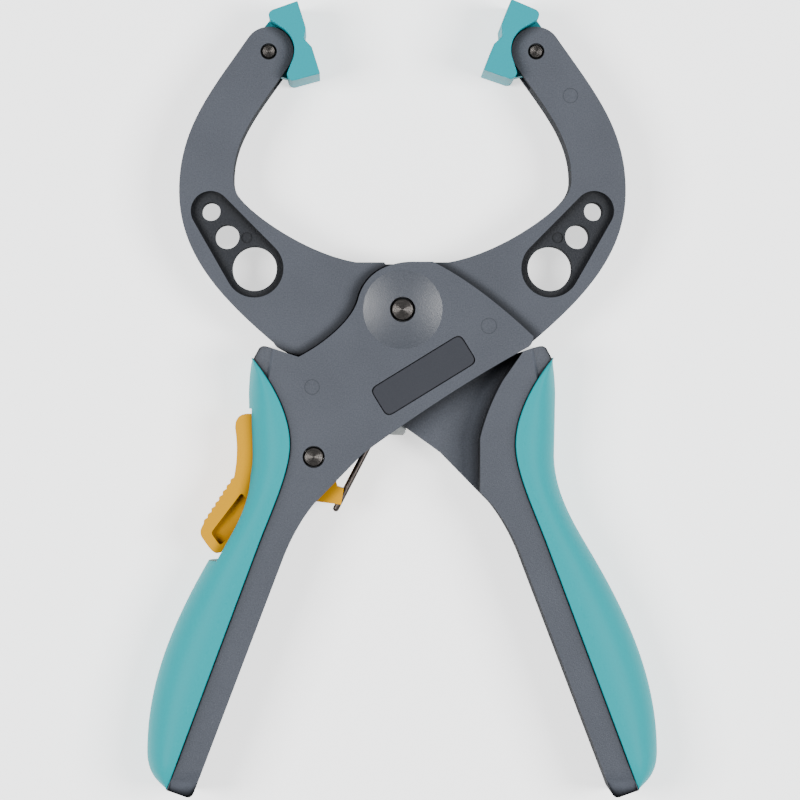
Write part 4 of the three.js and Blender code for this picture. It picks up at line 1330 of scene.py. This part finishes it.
# %% Make both name plates
plate_depth, plate_sunk, plate_round = 0.6, 0.05, 0.15
for front, name, body in ((True, "front_badge", "front_arm"), (False, "rear_badge", "rear_arm")):
    adds = [(badge_outline(0), hub_top - plate_depth, hub_top - plate_sunk)]
    points, faces = carve(adds, [])
    plate = new_piece(f"{name}_plate", placed(points, over=not front), faces, body,
                      badge_plastic, [name])
    round_edges(plate, lambda mids, convex, level: np.where(level, plate_round, 0.0),
                plate_round, 2)

# %% [markdown]
# ## Camera and light
# The camera looks straight down from a metre above, a little left of the middle. Two soft
# boxes stand left and right, so that the dish and the turned pins are bright on both sides and
# dark above and below. The floor glows a little, as a light table does.

# %% Camera
camera_data = bpy.data.cameras.new("camera")
camera = bpy.data.objects.new("camera", camera_data)
bpy.context.scene.collection.objects.link(camera)
bpy.context.scene.camera = camera
distance, framed = 1010, 244.5
eye = np.array([-20.0, -27.5])
aim = np.array([-0.6, -27.4])
camera.location = (*(eye * MM), (middle + distance) * MM)
camera_data.sensor_width = 36
camera_data.lens = camera_data.sensor_width * distance / framed
camera_data.shift_x, camera_data.shift_y = (aim - eye) / framed

# %% [markdown]
# A softbox is an area lamp. The two stand about 35 degrees from upright, where they light the
# flat faces evenly and still reach into the dish.

# %% Floor and light


def softbox(name, at, target, size, power):
    """A rectangular lamp at a place, facing a target, both in metres."""
    data = bpy.data.lights.new(name, "AREA")
    data.shape = "RECTANGLE"
    data.size, data.size_y = size
    data.energy = power
    lamp = bpy.data.objects.new(name, data)
    bpy.context.scene.collection.objects.link(lamp)
    lamp.location = at
    from_lamp = np.array(target) - np.array(at)
    lamp.rotation_euler = Vector(from_lamp).to_track_quat("-Z", "Y").to_euler()
    return lamp


box_size, box_power, box_target = (0.4, 0.6), 22, (0, -0.03, 0)
softbox("left box", (-0.75, -0.02, 1.1), box_target, box_size, box_power)
softbox("right box", (0.75, -0.06, 1.1), box_target, box_size, box_power)
world = bpy.data.worlds.new("studio")
bpy.context.scene.world = world
world.use_nodes = True
world.node_tree.nodes["Background"].inputs["Color"].default_value = (0.9, 0.95, 1, 1)
world.node_tree.nodes["Background"].inputs["Strength"].default_value = 0.35

floor_finish = Finish("floor", Roughness=0.8)
floor_finish.surface.inputs["Base Color"].default_value = (0.9, 0.9, 0.9, 1)
floor_finish.surface.inputs["Emission Color"].default_value = (1, 1, 1, 1)
floor_finish.surface.inputs["Emission Strength"].default_value = 1.2
half_floor, floor_level = 3.0, -2e-4
corners = [(x * half_floor, y * half_floor, floor_level)
           for x, y in ((-1, -1), (1, -1), (1, 1), (-1, 1))]
floor_mesh = bpy.data.meshes.new("floor")
floor_mesh.from_pydata(corners, [], [(0, 1, 2, 3)])
floor_mesh.materials.append(floor_finish.material)
floor = bpy.data.objects.new("floor", floor_mesh)
bpy.context.scene.collection.objects.link(floor)
